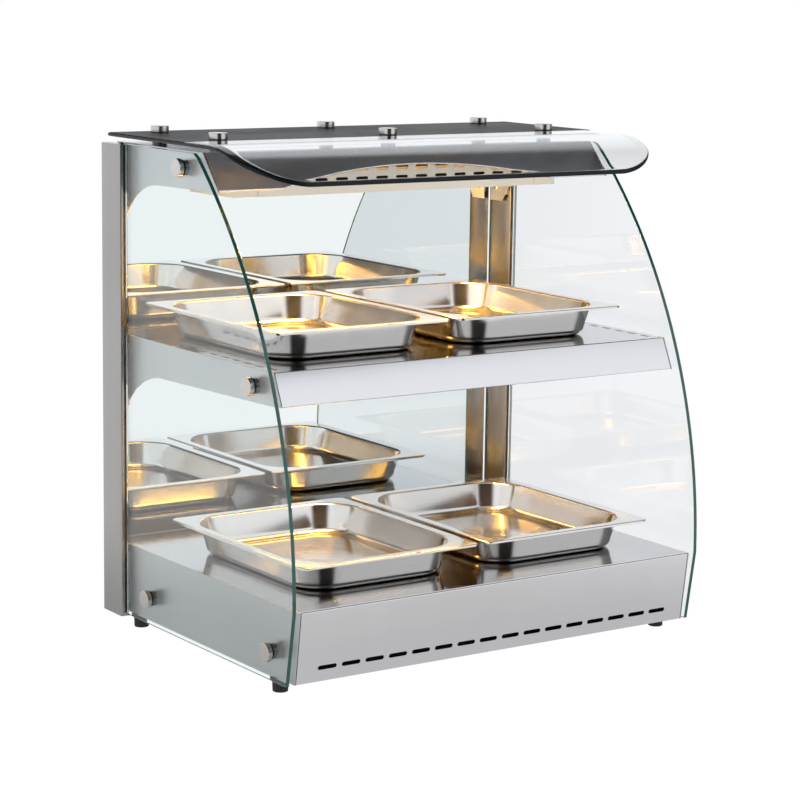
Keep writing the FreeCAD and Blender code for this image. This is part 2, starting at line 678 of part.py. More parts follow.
def pan(centre, deck_z):
    """Half-size gastronorm pan: pressed body, flat flange and turned-down rim."""
    low = deck_z + PAN_GAP
    high = low + PAN_DEPTH
    half = (PAN_SIZE[0] / 2, PAN_SIZE[1] / 2)
    outer = pan_body(centre, low, high, 0.0)
    inner = pan_body(centre, low + PAN_WALL, high, PAN_WALL)
    outline = rounded_rect(half[0], half[1], PAN_FLANGE_CORNER, centre)
    flange = prism_z(outline, (high - PAN_WALL, high))
    rim = prism_z(outline, (high - PAN_RIM_H, high))
    inside = rounded_rect(half[0] - PAN_RIM_T, half[1] - PAN_RIM_T, PAN_FLANGE_CORNER - PAN_RIM_T, centre)
    rim = rim.cut(prism_z(inside, (high - PAN_RIM_H - 1, high + 1)))
    shape = outer.fuse(flange).fuse(rim).removeSplitter()
    mouth = pan_section(high, [h - PAN_WALL for h in PAN_MOUTH], PAN_CORNERS[1] - PAN_WALL, centre)
    mouth_cut = Part.Face(mouth).extrude(V(0, 0, 1))
    return shape.cut(inner).cut(mouth_cut)


# Rear doors

def door_glass(z):
    return box((-DOOR_X, DOOR_X), DOOR_Y, z)


def door_fittings(z, pane):
    """Corner clamps with pivot pins at the hinge side, and steel strikes at the free side."""
    y = (DOOR_Y[0] - CLAMP_T, DOOR_Y[1] + CLAMP_T)
    pieces = []
    for end, up in ((z[0], -1), (z[1], 1)):
        face = end + up * CLAMP_T
        span = sorted((face, end - up * CLAMP_H))
        clamp = box(CLAMP_X, y, span).cut(pane)
        pin = rod((*PIVOT, face - up * 0.5), (*PIVOT, face + up * PIN_REACH), PIVOT_R)
        pieces.append(fuse_all([clamp, pin]))
        at_z = end - up * CATCH_INSET
        pieces.append(rod((CATCH_X, DOOR_Y[0] - STRIKE_T, at_z), (CATCH_X, DOOR_Y[0], at_z), CATCH_HALF))
    return group(pieces)


def door_pull(z_centre):
    """Upright finger pull on the outer face, hollowed on the side away from the edge."""
    y0, y1 = DOOR_Y[1], -GLASS_FRONT_Y
    x0, x1 = PULL_X
    steps = [(x0, y0), (x1, y0), (x1, y1 - 1.5), (x1 - 1.5, y1), (x0 - 1, y1), (x0 - 2, y1 - 1.2),
             ((x0 + 1.5, y1 - 3.6), (x0, y0))]
    wire = loop(lambda p: V(p[0], p[1], z_centre - PULL_H / 2), steps)
    return Part.Face(wire).extrude(V(0, 0, PULL_H))


def pivot_brackets():
    """Angle brackets on base, shelf and canopy that carry the doors' pivot pins."""
    brackets = []
    for z in BRACKET_Z:
        end = BRACKET_X[1]
        arm = box(BRACKET_X, (REAR_Y, BRACKET_Y), (z, z + BRACKET_T))
        foot = box((end - BRACKET_FOOT, end), (REAR_Y, REAR_Y + 1.6), (z - 7.0, z + BRACKET_T + 7.0))
        notch_x = (end - BRACKET_FOOT - 1, end + 1)
        notch = box(notch_x, (REAR_Y + 1.6, BRACKET_Y + 6), (z - 1, z + BRACKET_T + 1))
        bore = rod((*PIVOT, z - 1), (*PIVOT, z + BRACKET_T + 1), PIVOT_R + PIVOT_PLAY)
        brackets.append(fuse_all([arm.cut(notch), foot]).cut(bore))
    return group(brackets)


def door_catches():
    """Magnetic catches: one at the bottom and one at the top of each door."""
    y = (REAR_Y, DOOR_Y[0] - STRIKE_T - CATCH_PLAY)
    catches = []
    for low, high in (DOOR_LOWER_Z, DOOR_UPPER_Z):
        for z in (low + CATCH_INSET, high - CATCH_INSET):
            catches.append(box((CATCH_X - 14.0, CATCH_X + 14.0), y, (z - CATCH_HALF, z + CATCH_HALF)))
    return group(catches)


# Controls

def thermostat():
    """Capillary thermostat behind the rear panel, with a threaded neck and a spindle bore."""
    x, z = KNOB_AT
    body = box((x - 17.0, x + 17.0), (REAR_Y - 40.0, REAR_Y - 8.0), (z - 20.0, z + 20.0))
    neck = rod((x, REAR_Y - 8.5, z), (x, REAR_Y - SHEET - 0.1, z), 6.0)
    bore = rod((x, REAR_Y - 20.0, z), (x, REAR_Y, z), 3.05)
    tabs = [box((x - 9.0 + 12.0 * k, x - 3.0 + 12.0 * k), (REAR_Y - 50.0, REAR_Y - 39.0), (z - 0.4, z + 0.4))
            for k in range(2)]
    return fuse_all([body, neck] + tabs).cut(bore)


def thermostat_spindle():
    x, z = KNOB_AT
    return rod((x, REAR_Y - 18.0, z), (x, REAR_Y + 12.0, z), 3.0)


def thermostat_knob():
    """Round knob with a raised grip bar across its face."""
    x, z = KNOB_AT
    at = (x, REAR_Y + 0.8, z)
    disc = turned([(0, 0), (19.0, 0), (18.2, 5.5), ((17.6, 6.3), (16.8, 6.5)), (0, 6.5)], at, (0, 1, 0))
    bar = prism_z([(x - 4.0, at[1] + 5.0), (x - 2.6, at[1] + 16.0), (x + 2.6, at[1] + 16.0),
                   (x + 4.0, at[1] + 5.0)], (z - 16.0, z + 16.0))
    mark = box((x - 0.6, x + 0.6), (at[1] + 15.4, at[1] + 17.0), (z + 6.0, z + 15.0))
    bore = rod((x, REAR_Y, z), (x, REAR_Y + 12.0, z), 3.0)
    return fuse_all([disc, bar]).cut(mark).cut(bore)


ROCKER_HALF_W = 5.8
ROCKER_PIVOT_Y = REAR_Y - 0.6
ROCKER_TILT = 10.0


def switch_bodies():
    """Snap-in rocker switch housings with a rim outside the panel and two tabs inside."""
    bodies = []
    for x, z in ROCKERS_AT:
        shell = box((x - 8.0, x + 8.0), (REAR_Y - 20.0, REAR_Y), (z - 11.0, z + 11.0))
        rim = prism_y(rounded_rect(10.0, 13.0, 1.5, (x, z)), (REAR_Y, REAR_Y + 2.0))
        pocket = box((x - 6.1, x + 6.1), (REAR_Y - 6.0, REAR_Y + 3.0), (z - 9.2, z + 9.2))
        bore = rod((x - 7.6, ROCKER_PIVOT_Y, z), (x + 7.6, ROCKER_PIVOT_Y, z), 1.26)
        y = (REAR_Y - 28.0, REAR_Y - 19.0)
        tabs = [box((x - 2.4, x + 2.4), y, (z + h - 0.4, z + h + 0.4)) for h in (-5, 5)]
        bodies.append(fuse_all([shell, rim] + tabs).cut(pocket).cut(bore))
    return group(bodies)


def rocker(place):
    """Rocker at its off position, upper end in. Its pins turn in the housing's bores."""
    x, z = place
    y = ROCKER_PIVOT_Y
    half = ROCKER_HALF_W
    steps = [(y + 0.6, z - 9.5), (y + 3.0, z - 9.5), (y + 4.6, z), (y + 3.0, z + 9.5), (y + 0.6, z + 9.5)]
    paddle = prism_x(steps, (x - half, x + half)).common(rod((x - half, y, z), (x + half, y, z), 8.8))
    hub = rod((x - half, y, z), (x + half, y, z), 2.6)
    pins = rod((x - 7.4, y, z), (x + 7.4, y, z), 1.2)
    shape = fuse_all([paddle, hub, pins])
    shape.rotate(V(x, y, z), V(1, 0, 0), ROCKER_TILT)
    return shape


def indicator_light():
    x, z = INDICATOR_AT
    steps = [(0, -16.0), (4.4, -16.0), (4.4, 0), (6.5, 0), (6.5, 1.0), (5.0, 1.5), dome(5.0, 1.5, 4.5)]
    return turned(steps, (x, REAR_Y, z), (0, 1, 0))


def inlet_outline(half_w, half_h):
    """Mouth of an appliance inlet: a rectangle with its two upper corners cut off."""
    x, z = INLET_AT
    cut = 5.0
    return [(x - half_w, z - half_h), (x + half_w, z - half_h), (x + half_w, z + half_h - cut),
            (x + half_w - cut, z + half_h), (x - half_w + cut, z + half_h), (x - half_w, z + half_h - cut)]


def power_inlet():
    """Moulded appliance inlet with a flange outside the panel and a recess for the connector."""
    x, z = INLET_AT
    half_w, half_h = INLET_BODY
    body = box((x - half_w, x + half_w), (REAR_Y - 18.0, REAR_Y), (z - half_h, z + half_h))
    flange = prism_y(rounded_rect(25.0, 12.5, 3.0, (x, z)), (REAR_Y, REAR_Y + 2.5))
    mouth = prism_y(inlet_outline(*INLET_MOUTH), (REAR_Y - 15.0, REAR_Y + 3))
    pins = [inlet_pin(k, (REAR_Y - 26.0, REAR_Y)) for k in range(3)]
    return fuse_all([body, flange]).cut(Part.makeCompound([mouth] + pins))


def inlet_pin(k, y):
    """One of the three blades: line, earth and neutral. The earth blade stands higher."""
    x = INLET_AT[0] + 7.0 * (k - 1)
    z = INLET_AT[1] + (2.0 if k == 1 else -2.0)
    return box((x - 1.0, x + 1.0), y, (z - 2.0, z + 2.0))


def inlet_pins():
    return group([inlet_pin(k, (REAR_Y - 26.0, REAR_Y - 1.0)) for k in range(3)])


def build():
    """Every sub-part by its node name."""
    parts = {
        "base_pan": base_pan(),
        "base_front_panel": base_front_panel(),
        "base_deck": base_deck(),
        "base_rear_panel": base_rear_panel(),
        "feet": feet(),
        "post_end_caps": post_end_caps(),
        "post_spacers": post_spacers(),
        "screws": screws(),
        "shelf_deck": shelf_deck(),
        "shelf_fascia": shelf_fascia(),
        "shelf_underside": shelf_underside(),
        "shelf_lamp_cover": shelf_lamp_cover(),
        "canopy_top": canopy_top(),
        "canopy_fascia": canopy_fascia(),
        "canopy_underside": canopy_underside(),
        "lamp_housing": lamp_housing(),
        "lamp_end_covers": lamp_end_covers(),
        "lamp_hangers": lamp_hangers(),
        "deck_heater": deck_heater(),
        "shelf_heater": shelf_heater(),
        "quartz_lamps": quartz_lamps(),
        "lamp_holders": lamp_holders(),
        "top_glass": top_glass(),
        "side_standoff_caps": side_standoff_caps(),
        "side_standoff_barrels": side_standoff_barrels(),
        "top_standoff_caps": top_standoff_caps(),
        "top_standoff_barrels": top_standoff_barrels(),
        "glass_washers": glass_washers(),
        "standoff_nuts": standoff_nuts(),
        "pivot_brackets": pivot_brackets(),
        "door_catches": door_catches(),
        "thermostat": thermostat(),
        "thermostat_spindle": thermostat_spindle(),
        "thermostat_knob": thermostat_knob(),
        "switch_bodies": switch_bodies(),
        "power_rocker": rocker(ROCKERS_AT[0]),
        "light_rocker": rocker(ROCKERS_AT[1]),
        "indicator_light": indicator_light(),
        "power_inlet": power_inlet(),
        "inlet_pins": inlet_pins(),
    }
    for name, side in SIDES.items():
        parts["post_" + name] = post(side)
        parts["base_side_" + name] = base_side(side)
        parts["shelf_side_" + name] = shelf_side(side)
        parts["canopy_side_" + name] = canopy_side(side)
        parts["side_glass_" + name] = side_glass(side)
    for name, z in (("lower", DOOR_LOWER_Z), ("upper", DOOR_UPPER_Z)):
        pane = door_glass(z)
        parts["door_%s_mirror" % name] = pane
        parts["door_%s_fittings" % name] = door_fittings(z, pane)
        parts["door_%s_pull" % name] = door_pull((z[0] + z[1]) / 2)
    for tier, places, deck_z in (("lower", PAN_LOWER, DECK_Z), ("upper", PAN_UPPER, SHELF_Z)):
        for name, place in zip(SIDES, places):
            parts["pan_%s_%s" % (tier, name)] = pan(place, deck_z)
    return parts


os.makedirs("parts", exist_ok=True)
for node, shape in build().items():
    if not shape.isValid():
        print("not valid:", node)
    shape.exportStep("parts/%s.step" % node)
    print("%-24s %2d solids %12.1f mm3" % (node, len(shape.Solids), shape.Volume))
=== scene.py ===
"""Looks of a two-tier countertop hot food display case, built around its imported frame."""

import json
import logging
import math
from collections.abc import Iterable, Sequence
from dataclasses import dataclass
from enum import Enum

import bmesh
import bpy
import numpy as np
from mathutils import Matrix, Vector

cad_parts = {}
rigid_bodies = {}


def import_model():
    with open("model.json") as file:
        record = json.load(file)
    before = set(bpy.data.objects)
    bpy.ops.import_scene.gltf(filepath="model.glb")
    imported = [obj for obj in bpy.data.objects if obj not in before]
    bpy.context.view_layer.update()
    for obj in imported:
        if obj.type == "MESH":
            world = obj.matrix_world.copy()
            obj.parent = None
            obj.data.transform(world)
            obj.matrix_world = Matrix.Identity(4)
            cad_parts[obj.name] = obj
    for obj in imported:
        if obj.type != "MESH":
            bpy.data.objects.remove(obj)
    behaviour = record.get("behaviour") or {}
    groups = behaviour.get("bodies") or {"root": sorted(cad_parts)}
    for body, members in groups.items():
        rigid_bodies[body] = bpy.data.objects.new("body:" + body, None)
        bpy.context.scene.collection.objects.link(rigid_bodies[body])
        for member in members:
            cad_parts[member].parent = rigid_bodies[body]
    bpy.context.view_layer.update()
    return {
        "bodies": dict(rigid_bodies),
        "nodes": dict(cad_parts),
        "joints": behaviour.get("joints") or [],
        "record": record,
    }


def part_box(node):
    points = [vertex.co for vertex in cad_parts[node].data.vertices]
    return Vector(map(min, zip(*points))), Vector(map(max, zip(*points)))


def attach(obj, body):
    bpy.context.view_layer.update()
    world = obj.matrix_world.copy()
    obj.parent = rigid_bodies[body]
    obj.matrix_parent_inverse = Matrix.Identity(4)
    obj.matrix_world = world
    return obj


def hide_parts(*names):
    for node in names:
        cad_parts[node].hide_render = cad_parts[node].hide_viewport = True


LOG = logging.getLogger("display_case")
MM = 0.001
CASE = "case"
BLACK = (0.0, 0.0, 0.0, 1.0)
WHITE = (1.0, 1.0, 1.0, 1.0)
GRAIN_SHARE = 0.75
GRAIN_DEPTH = 0.1 * MM
MERGE_WITHIN = 1e-6


# Node trees


class Wiring:
    """Adds nodes to one node tree and joins their sockets."""

    def __init__(self, tree: bpy.types.NodeTree) -> None:
        """Keeps the tree that the nodes go into."""
        self.tree = tree

    def add(self, kind: str, **settings: object) -> bpy.types.Node:
        """Adds a node.

        Args:
            kind: the node's type, such as ShaderNodeMath.
            settings: attributes of the node and the values they take.

        Returns:
            The new node.
        """
        node = self.tree.nodes.new(kind)
        for key, value in settings.items():
            setattr(node, key, value)
        return node

    def feed(self, node: bpy.types.Node, **inputs: object) -> bpy.types.Node:
        """Sets or joins inputs by name, with underscores for spaces.

        Args:
            node: the node whose inputs are fed.
            inputs: a socket to join, or a plain value to set.

        Returns:
            The same node.
        """
        for key, value in inputs.items():
            socket = node.inputs[int(key[1:])] if key[0] == "_" else node.inputs[key.replace("_", " ")]
            if isinstance(value, bpy.types.NodeSocket):
                self.tree.links.new(value, socket)
            else:
                socket.default_value = value
        return node

    def math(self, operation: str, *values: object, clamp: bool = False) -> bpy.types.NodeSocket:
        """Adds a Math node and returns its result."""
        node = self.add("ShaderNodeMath", operation=operation, use_clamp=clamp)
        self.feed(node, **{f"_{i}": value for i, value in enumerate(values)})
        return node.outputs[0]

    def vector(self, operation: str, *values: object, out: str = "Vector") -> bpy.types.NodeSocket:
        """Adds a Vector Math node and returns one of its results."""
        node = self.add("ShaderNodeVectorMath", operation=operation)
        self.feed(node, **{f"_{i}": value for i, value in enumerate(values)})
        return node.outputs[out]

    def span(self, value: object, low: float, high: float, to_low: float = 0.0,
             to_high: float = 1.0, smooth: bool = False) -> bpy.types.NodeSocket:
        """Maps a range of values onto another one, held at its ends."""
        kind = "SMOOTHSTEP" if smooth else "LINEAR"
        node = self.add("ShaderNodeMapRange", interpolation_type=kind)
        self.feed(node, Value=value, From_Min=low, From_Max=high, To_Min=to_low, To_Max=to_high)
        return node.outputs[0]

    def blend(self, amount: object, first: object, second: object) -> bpy.types.NodeSocket:
        """Mixes two colours and returns the result."""
        node = self.add("ShaderNodeMix", data_type="RGBA")
        self.feed(node, _0=amount, _6=first, _7=second)
        return node.outputs[2]

    def seen_directly(self) -> bpy.types.NodeSocket:
        """Returns 1 for a path that has met nothing but clear glass, else 0."""
        path = self.add("ShaderNodeLightPath")
        bounced = self.math("ADD", path.outputs["Glossy Depth"], path.outputs["Diffuse Depth"])
        return self.math("LESS_THAN", bounced, 0.5)


def group_tree(name: str, inputs: Iterable[tuple[str, str]], outputs: Iterable[tuple[str, str]]
               ) -> tuple[bpy.types.NodeTree, Wiring, bpy.types.Node, bpy.types.Node]:
    """Starts a shader node group.

    Args:
        name: the group's name.
        inputs: pairs of a socket's name and its kind, Float, Vector or Color.
        outputs: the same, for the results.

    Returns:
        The tree, its wiring, its input node and its output node.
    """
    tree = bpy.data.node_groups.new(name, "ShaderNodeTree")
    for way, sockets in (("INPUT", inputs), ("OUTPUT", outputs)):
        for label, kind in sockets:
            tree.interface.new_socket(label, in_out=way, socket_type=f"NodeSocket{kind}")
    wires = Wiring(tree)
    return tree, wires, wires.add("NodeGroupInput"), wires.add("NodeGroupOutput")


class Effects:
    """Shared surface effects, each built once as a node group.

    The wide layer of brush lines has its scale and its share of the sum. Marks begin and are full
    at the two values of mark_range.
    """

    wide_scale = 0.17
    wide_share = 0.4
    mark_range = (0.42, 0.68)

    def __init__(self) -> None:
        """Builds the groups."""
        self.grain = self._grain()
        self.smudge = self._smudge()

    def _grain(self) -> bpy.types.NodeTree:
        """Builds brush lines: noise stretched along the brushing, in a fine and a wide layer.

        Returns:
            A group from Vector and Stretch to Lines, a value about 0.5.
        """
        tree, wires, start, end = group_tree(
            "brush_lines", [("Vector", "Vector"), ("Stretch", "Vector")], [("Lines", "Float")])
        stretched = wires.vector("MULTIPLY", start.outputs["Vector"], start.outputs["Stretch"])
        fine = wires.feed(wires.add("ShaderNodeTexNoise"), Vector=stretched, Scale=1.0, Detail=3.0)
        wide = wires.feed(wires.add("ShaderNodeTexNoise"), Vector=stretched, Scale=self.wide_scale,
                          Detail=2.0)
        lines = wires.math("ADD", wires.math("MULTIPLY", fine.outputs[0], 1 - self.wide_share),
                           wires.math("MULTIPLY", wide.outputs[0], self.wide_share))
        wires.feed(end, Lines=lines)
        return tree

    def _smudge(self) -> bpy.types.NodeTree:
        """Builds wipe marks: soft cloudy noise, broken up by a finer layer.

        Returns:
            A group from Vector and Size to Marks, a mask from 0 to 1.
        """
        tree, wires, start, end = group_tree(
            "wipe_marks", [("Vector", "Vector"), ("Size", "Float")], [("Marks", "Float")])
        scale = wires.math("DIVIDE", 1.0, start.outputs["Size"])
        cloud = wires.feed(wires.add("ShaderNodeTexNoise"), Vector=start.outputs["Vector"], Scale=scale,
                           Detail=4.0, Distortion=0.6)
        wires.feed(end, Marks=wires.span(cloud.outputs[0], *self.mark_range, smooth=True))
        return tree


class Grain(Enum):
    """Which way a surface is brushed. The numbers stretch the noise, in lines per metre along X, Y and Z."""

    ALONG_X = (9.0, 2600.0, 2600.0)
    ALONG_Y = (2600.0, 9.0, 2600.0)
    ALONG_Z = (2600.0, 2600.0, 9.0)
    FINE = (900.0, 900.0, 900.0)


@dataclass(frozen=True)
class Surface:
    """What every finish shares: its name, colour and gloss, and how they vary over it."""

    name: str
    colour: tuple[float, float, float]
    roughness: float
    uneven: float = 0.05
    mark_size: float = 0.12
    grain: Grain = Grain.FINE
    depth: float = 0.02
    tint_range: float = 0.06

    def make(self, effects: Effects) -> bpy.types.Material:
        """Makes the material.

        Args:
            effects: the shared node groups.

        Returns:
            The finished material.
        """
        material = bpy.data.materials.new(self.name)
        material.use_nodes = True
        wires = Wiring(material.node_tree)
        shader = next(n for n in material.node_tree.nodes if n.type == "BSDF_PRINCIPLED")
        place = wires.add("ShaderNodeTexCoord").outputs["Object"]
        lines = wires.add("ShaderNodeGroup", node_tree=effects.grain)
        wires.feed(lines, Vector=place, Stretch=self.grain.value)
        marks = wires.add("ShaderNodeGroup", node_tree=effects.smudge)
        wires.feed(marks, Vector=place, Size=self.mark_size)
        both = wires.math("ADD", wires.math("MULTIPLY", lines.outputs[0], GRAIN_SHARE),
                          wires.math("MULTIPLY", marks.outputs[0], 1 - GRAIN_SHARE))
        darker = tuple(c * (1 - self.tint_range) for c in self.colour) + (1.0,)
        lighter = tuple(min(1.0, c * (1 + self.tint_range)) for c in self.colour) + (1.0,)
        wires.feed(shader, Base_Color=wires.blend(both, darker, lighter))
        low, high = max(0.0, self.roughness - self.uneven), min(1.0, self.roughness + self.uneven)
        wires.feed(shader, Roughness=wires.span(both, 0.25, 0.75, low, high))
        if self.depth > 0:
            bump = wires.add("ShaderNodeBump")
            wires.feed(bump, Strength=self.depth, Distance=GRAIN_DEPTH, Height=lines.outputs[0])
            wires.feed(shader, Normal=bump.outputs[0])
        self.dress(wires, shader)
        return material

    def dress(self, wires: Wiring, shader: bpy.types.Node) -> None:
        """Sets what this kind of surface needs beyond colour, gloss and relief."""


@dataclass(frozen=True)
class Metal(Surface):
    """Bare metal, stretched along its brushing."""

    anisotropy: float = 0.0
    around: str = "Z"

    def dress(self, wires: Wiring, shader: bpy.types.Node) -> None:
        """Makes the surface metallic, and spreads its gloss across the brushing."""
        wires.feed(shader, Metallic=1.0)
        if self.anisotropy > 0:
            tangent = wires.add("ShaderNodeTangent", direction_type="RADIAL", axis=self.around)
            wires.feed(shader, Anisotropic=self.anisotropy, Tangent=tangent.outputs[0])


@dataclass(frozen=True)
class Solid(Surface):
    """Plastic, rubber, ceramic or print. It may have a clear coat or glow."""

    coat: float = 0.0
    shine: float = 0.5
    glow: tuple[float, float, float] = (0.0, 0.0, 0.0)
    glow_strength: float = 0.0

    def dress(self, wires: Wiring, shader: bpy.types.Node) -> None:
        """Sets coat, shine and glow."""
        wires.feed(shader, Coat_Weight=self.coat, Specular_IOR_Level=self.shine)
        if self.glow_strength > 0:
            wires.feed(shader, Emission_Color=(*self.glow, 1.0), Emission_Strength=self.glow_strength)


@dataclass(frozen=True)
class Glass(Surface):
    """Clear glass that lets the light of lamps through."""

    ior: float = 1.46

    def dress(self, wires: Wiring, shader: bpy.types.Node) -> None:
        """Makes the surface clear. Rays towards lamps pass through it unbent."""
        wires.feed(shader, Transmission_Weight=1.0, IOR=self.ior)
        tree = wires.tree
        output = next(n for n in tree.nodes if n.type == "OUTPUT_MATERIAL")
        path = wires.add("ShaderNodeLightPath")
        lit = wires.math("MAXIMUM", path.outputs["Is Shadow Ray"], path.outputs["Is Diffuse Ray"])
        clear = wires.feed(wires.add("ShaderNodeBsdfTransparent"), Color=(*self.colour, 1.0))
        mixed = wires.add("ShaderNodeMixShader")
        wires.feed(mixed, _0=lit, _1=shader.outputs[0], _2=clear.outputs[0])
        tree.links.new(mixed.outputs[0], output.inputs["Surface"])


FINISHES = (
    Metal("steel_posts", (0.385, 0.375, 0.365), 0.24, grain=Grain.ALONG_Z, anisotropy=0.5, around="X"),
    Metal("steel_fronts", (0.78, 0.78, 0.805), 0.22, uneven=0.03, grain=Grain.ALONG_X, depth=0.008,
          tint_range=0.03),
    Metal("steel_sides", (0.58, 0.60, 0.61), 0.34, grain=Grain.ALONG_Y, anisotropy=0.4),
    Metal("steel_decks", (0.58, 0.57, 0.57), 0.10, uneven=0.03, grain=Grain.ALONG_X, depth=0.01),
    Metal("steel_pans", (0.76, 0.75, 0.73), 0.15, uneven=0.03, mark_size=0.05, grain=Grain.ALONG_X,
          depth=0.008),
    # Stainless steel tinted cream: painted warm lamp light on the housing.
    Metal("steel_housing_painted_warm_light", (0.80, 0.75, 0.64), 0.38, grain=Grain.ALONG_X, anisotropy=0.4),
    Metal("steel_turned", (0.62, 0.60, 0.57), 0.21, grain=Grain.ALONG_Z, depth=0.03),
    Metal("steel_fittings", (0.60, 0.60, 0.60), 0.26, grain=Grain.ALONG_Z),
    # Near-black painted shade for the inside of the lamp housing.
    Metal("steel_painted_shade", (0.045, 0.04, 0.035), 0.55, mark_size=0.03, tint_range=0.2),
    # Darkened steel for the barrels behind the glass: painted shade.
    Metal("steel_barrels_painted_shade", (0.24, 0.24, 0.24), 0.30),
    Metal("steel_inside", (0.50, 0.51, 0.52), 0.42, mark_size=0.03, tint_range=0.15),
    Metal("heater_sheath", (0.16, 0.15, 0.14), 0.45, tint_range=0.2),
    Metal("mirror_silver", (0.90, 0.94, 0.94), 0.01, uneven=0.01, mark_size=0.3, depth=0.0, tint_range=0.01),
    Metal("plated_blades", (0.72, 0.63, 0.38), 0.22),
    Solid("mirror_backing", (0.20, 0.21, 0.22), 0.45, mark_size=0.04, depth=0.03),
    Solid("black_rubber", (0.018, 0.018, 0.018), 0.72, depth=0.25, tint_range=0.2),
    Solid("black_plastic", (0.025, 0.025, 0.026), 0.38, depth=0.12, tint_range=0.15),
    Solid("black_print", (0.022, 0.022, 0.024), 0.35, shine=0.01, depth=0.01, tint_range=0.1),
    Solid("red_rocker", (0.45, 0.02, 0.015), 0.22, coat=0.4, depth=0.02, glow=(1.0, 0.08, 0.03),
          glow_strength=0.25),
    Solid("amber_lens", (0.75, 0.26, 0.03), 0.14, coat=0.6, depth=0.02, glow=(1.0, 0.42, 0.08),
          glow_strength=0.6),
    Solid("ceramic", (0.78, 0.75, 0.68), 0.28, coat=0.3, depth=0.04),
    Solid("quartz_glow", (0.95, 0.80, 0.60), 0.2, depth=0.02, glow=(1.0, 0.50, 0.16), glow_strength=0.7),
    Solid("glass_edge", (0.006, 0.105, 0.082), 0.10, uneven=0.03, coat=0.5, depth=0.01, tint_range=0.5,
          mark_size=0.05),
    Solid("visor_edge", (0.006, 0.010, 0.012), 0.20, uneven=0.03, shine=0.2, depth=0.01, tint_range=0.3),
    # The same clear glass in two tints: the left one lighter as painted light, the right one darker as
    # painted shade.
    Glass("glass_left", (0.94, 0.97, 0.972), 0.0, uneven=0.0, depth=0.0, tint_range=0.01, mark_size=0.4),
    Glass("glass_right", (0.89, 0.91, 0.93), 0.0, uneven=0.0, depth=0.0, tint_range=0.01, mark_size=0.4),
    Glass("glass_visor", (0.90, 0.92, 0.93), 0.0, uneven=0.0, depth=0.0, tint_range=0.01, mark_size=0.4),
    Glass("glass_cover", (0.92, 0.90, 0.86), 0.12, uneven=0.04, depth=0.02),
)


class Palette:
    """Every finish of the case, made once and found by name."""

    def __init__(self) -> None:
        """Makes the materials."""
        effects = Effects()
        self.materials = {finish.name: finish.make(effects) for finish in FINISHES}

    def __getitem__(self, name: str) -> bpy.types.Material:
        """Returns the material of that name."""
        return self.materials[name]


# Shapes as arrays


def quads(rows: int, columns: int, wrap_rows: bool = False, wrap_columns: bool = False) -> np.ndarray:
    """Numbers the quads of a grid of points stored row by row.

    Args:
        rows: number of rows.
        columns: number of points in a row.
        wrap_rows: whether the last row joins the first one.
        wrap_columns: whether each row closes on itself.

    Returns:
        An array of four point numbers for each quad.
    """
    r = np.arange(rows if wrap_rows else rows - 1)[:, None]
    c = np.arange(columns if wrap_columns else columns - 1)[None, :]
    next_r, next_c = (r + 1) % rows, (c + 1) % columns
    corners = [r * columns + c, r * columns + next_c, next_r * columns + next_c, next_r * columns + c]
    return np.stack([np.broadcast_to(k, (r.size, c.size)) for k in corners], axis=-1).reshape(-1, 4)


def rounded_rectangle(half_x: float, half_y: float, radius: float, steps: int,
                      straight: int) -> np.ndarray:
    """Outline of a rectangle with round corners, anticlockwise.

    Each corner is a quarter circle of the radius about a centre that is the radius in from both
    sides, and evenly spaced points along the straight runs join them.

    Args:
        half_x: half of its width.
        half_y: half of its height.
        radius: radius of the corners.
        steps: spans in a corner.
        straight: spans along a straight run.

    Returns:
        Points as an array of X and Y.
    """
    angles = np.linspace(0.0, math.pi / 2, steps + 1)
    corners = []
    for turn, (sx, sy) in enumerate(((1, 1), (-1, 1), (-1, -1), (1, -1))):
        a = angles + turn * math.pi / 2
        centre = np.array([sx * (half_x - radius), sy * (half_y - radius)])
        corners.append(centre + radius * np.stack([np.cos(a), np.sin(a)], axis=1))
    outline = []
    for here, there in zip(corners, corners[1:] + corners[:1]):
        t = np.linspace(0.0, 1.0, straight + 1)[1:-1, None]
        outline += [here, here[-1] * (1 - t) + there[0] * t]
    return np.concatenate(outline)


def rounded_path(points: Sequence[tuple[float, float]], radius: float, steps: int = 6) -> np.ndarray:
    """Open path through points, with its corners rounded.

    At a corner the path leaves the incoming run and joins the outgoing one at the tangent length,
    radius times the tangent of half the turn. Between them it follows a circle, by a spherical
    blend of the two directions from the circle's centre.

    Args:
        points: the corners, and the two ends.
        radius: radius of the rounded corners.
        steps: spans in a corner.

    Returns:
        Points as an array of two columns.
    """
    p = np.asarray(points, dtype=float)
    path = [p[:1]]
    for before, corner, after in zip(p, p[1:], p[2:]):
        back = (before - corner) / np.linalg.norm(before - corner)
        on = (after - corner) / np.linalg.norm(after - corner)
        half = (math.pi - math.acos(float(np.clip(back @ on, -1, 1)))) / 2
        middle = (back + on) / np.linalg.norm(back + on)
        centre = corner + middle * radius / math.cos(half)
        first = (corner + back * radius * math.tan(half) - centre) / radius
        last = (corner + on * radius * math.tan(half) - centre) / radius
        t = np.linspace(0.0, 1.0, steps + 1)[:, None]
        arc = (np.sin((1 - t) * 2 * half) * first + np.sin(t * 2 * half) * last) / math.sin(2 * half)
        path.append(centre + radius * arc)
    return np.concatenate(path + [p[-1:]])


def thickened(path: np.ndarray, thickness: float) -> np.ndarray:
    """Closed outline of a sheet whose outer face is the path.

    The inner face is the path moved by the thickness along its normal, which is its direction
    turned by a quarter turn to the left.

    Args:
        path: the outer face.
        thickness: of the sheet.

    Returns:
        The outer face and then the inner one, back to the start.
    """
    run = np.gradient(path, axis=0)
    run /= np.linalg.norm(run, axis=1)[:, None]
    inner = path + thickness * np.stack([-run[:, 1], run[:, 0]], axis=1)
    return np.concatenate([path, inner[::-1]])


def at_height(outline: np.ndarray, height: float) -> np.ndarray:
    """Lays a flat outline at a height, as points of three columns."""
    return np.column_stack([outline, np.full(len(outline), height)])


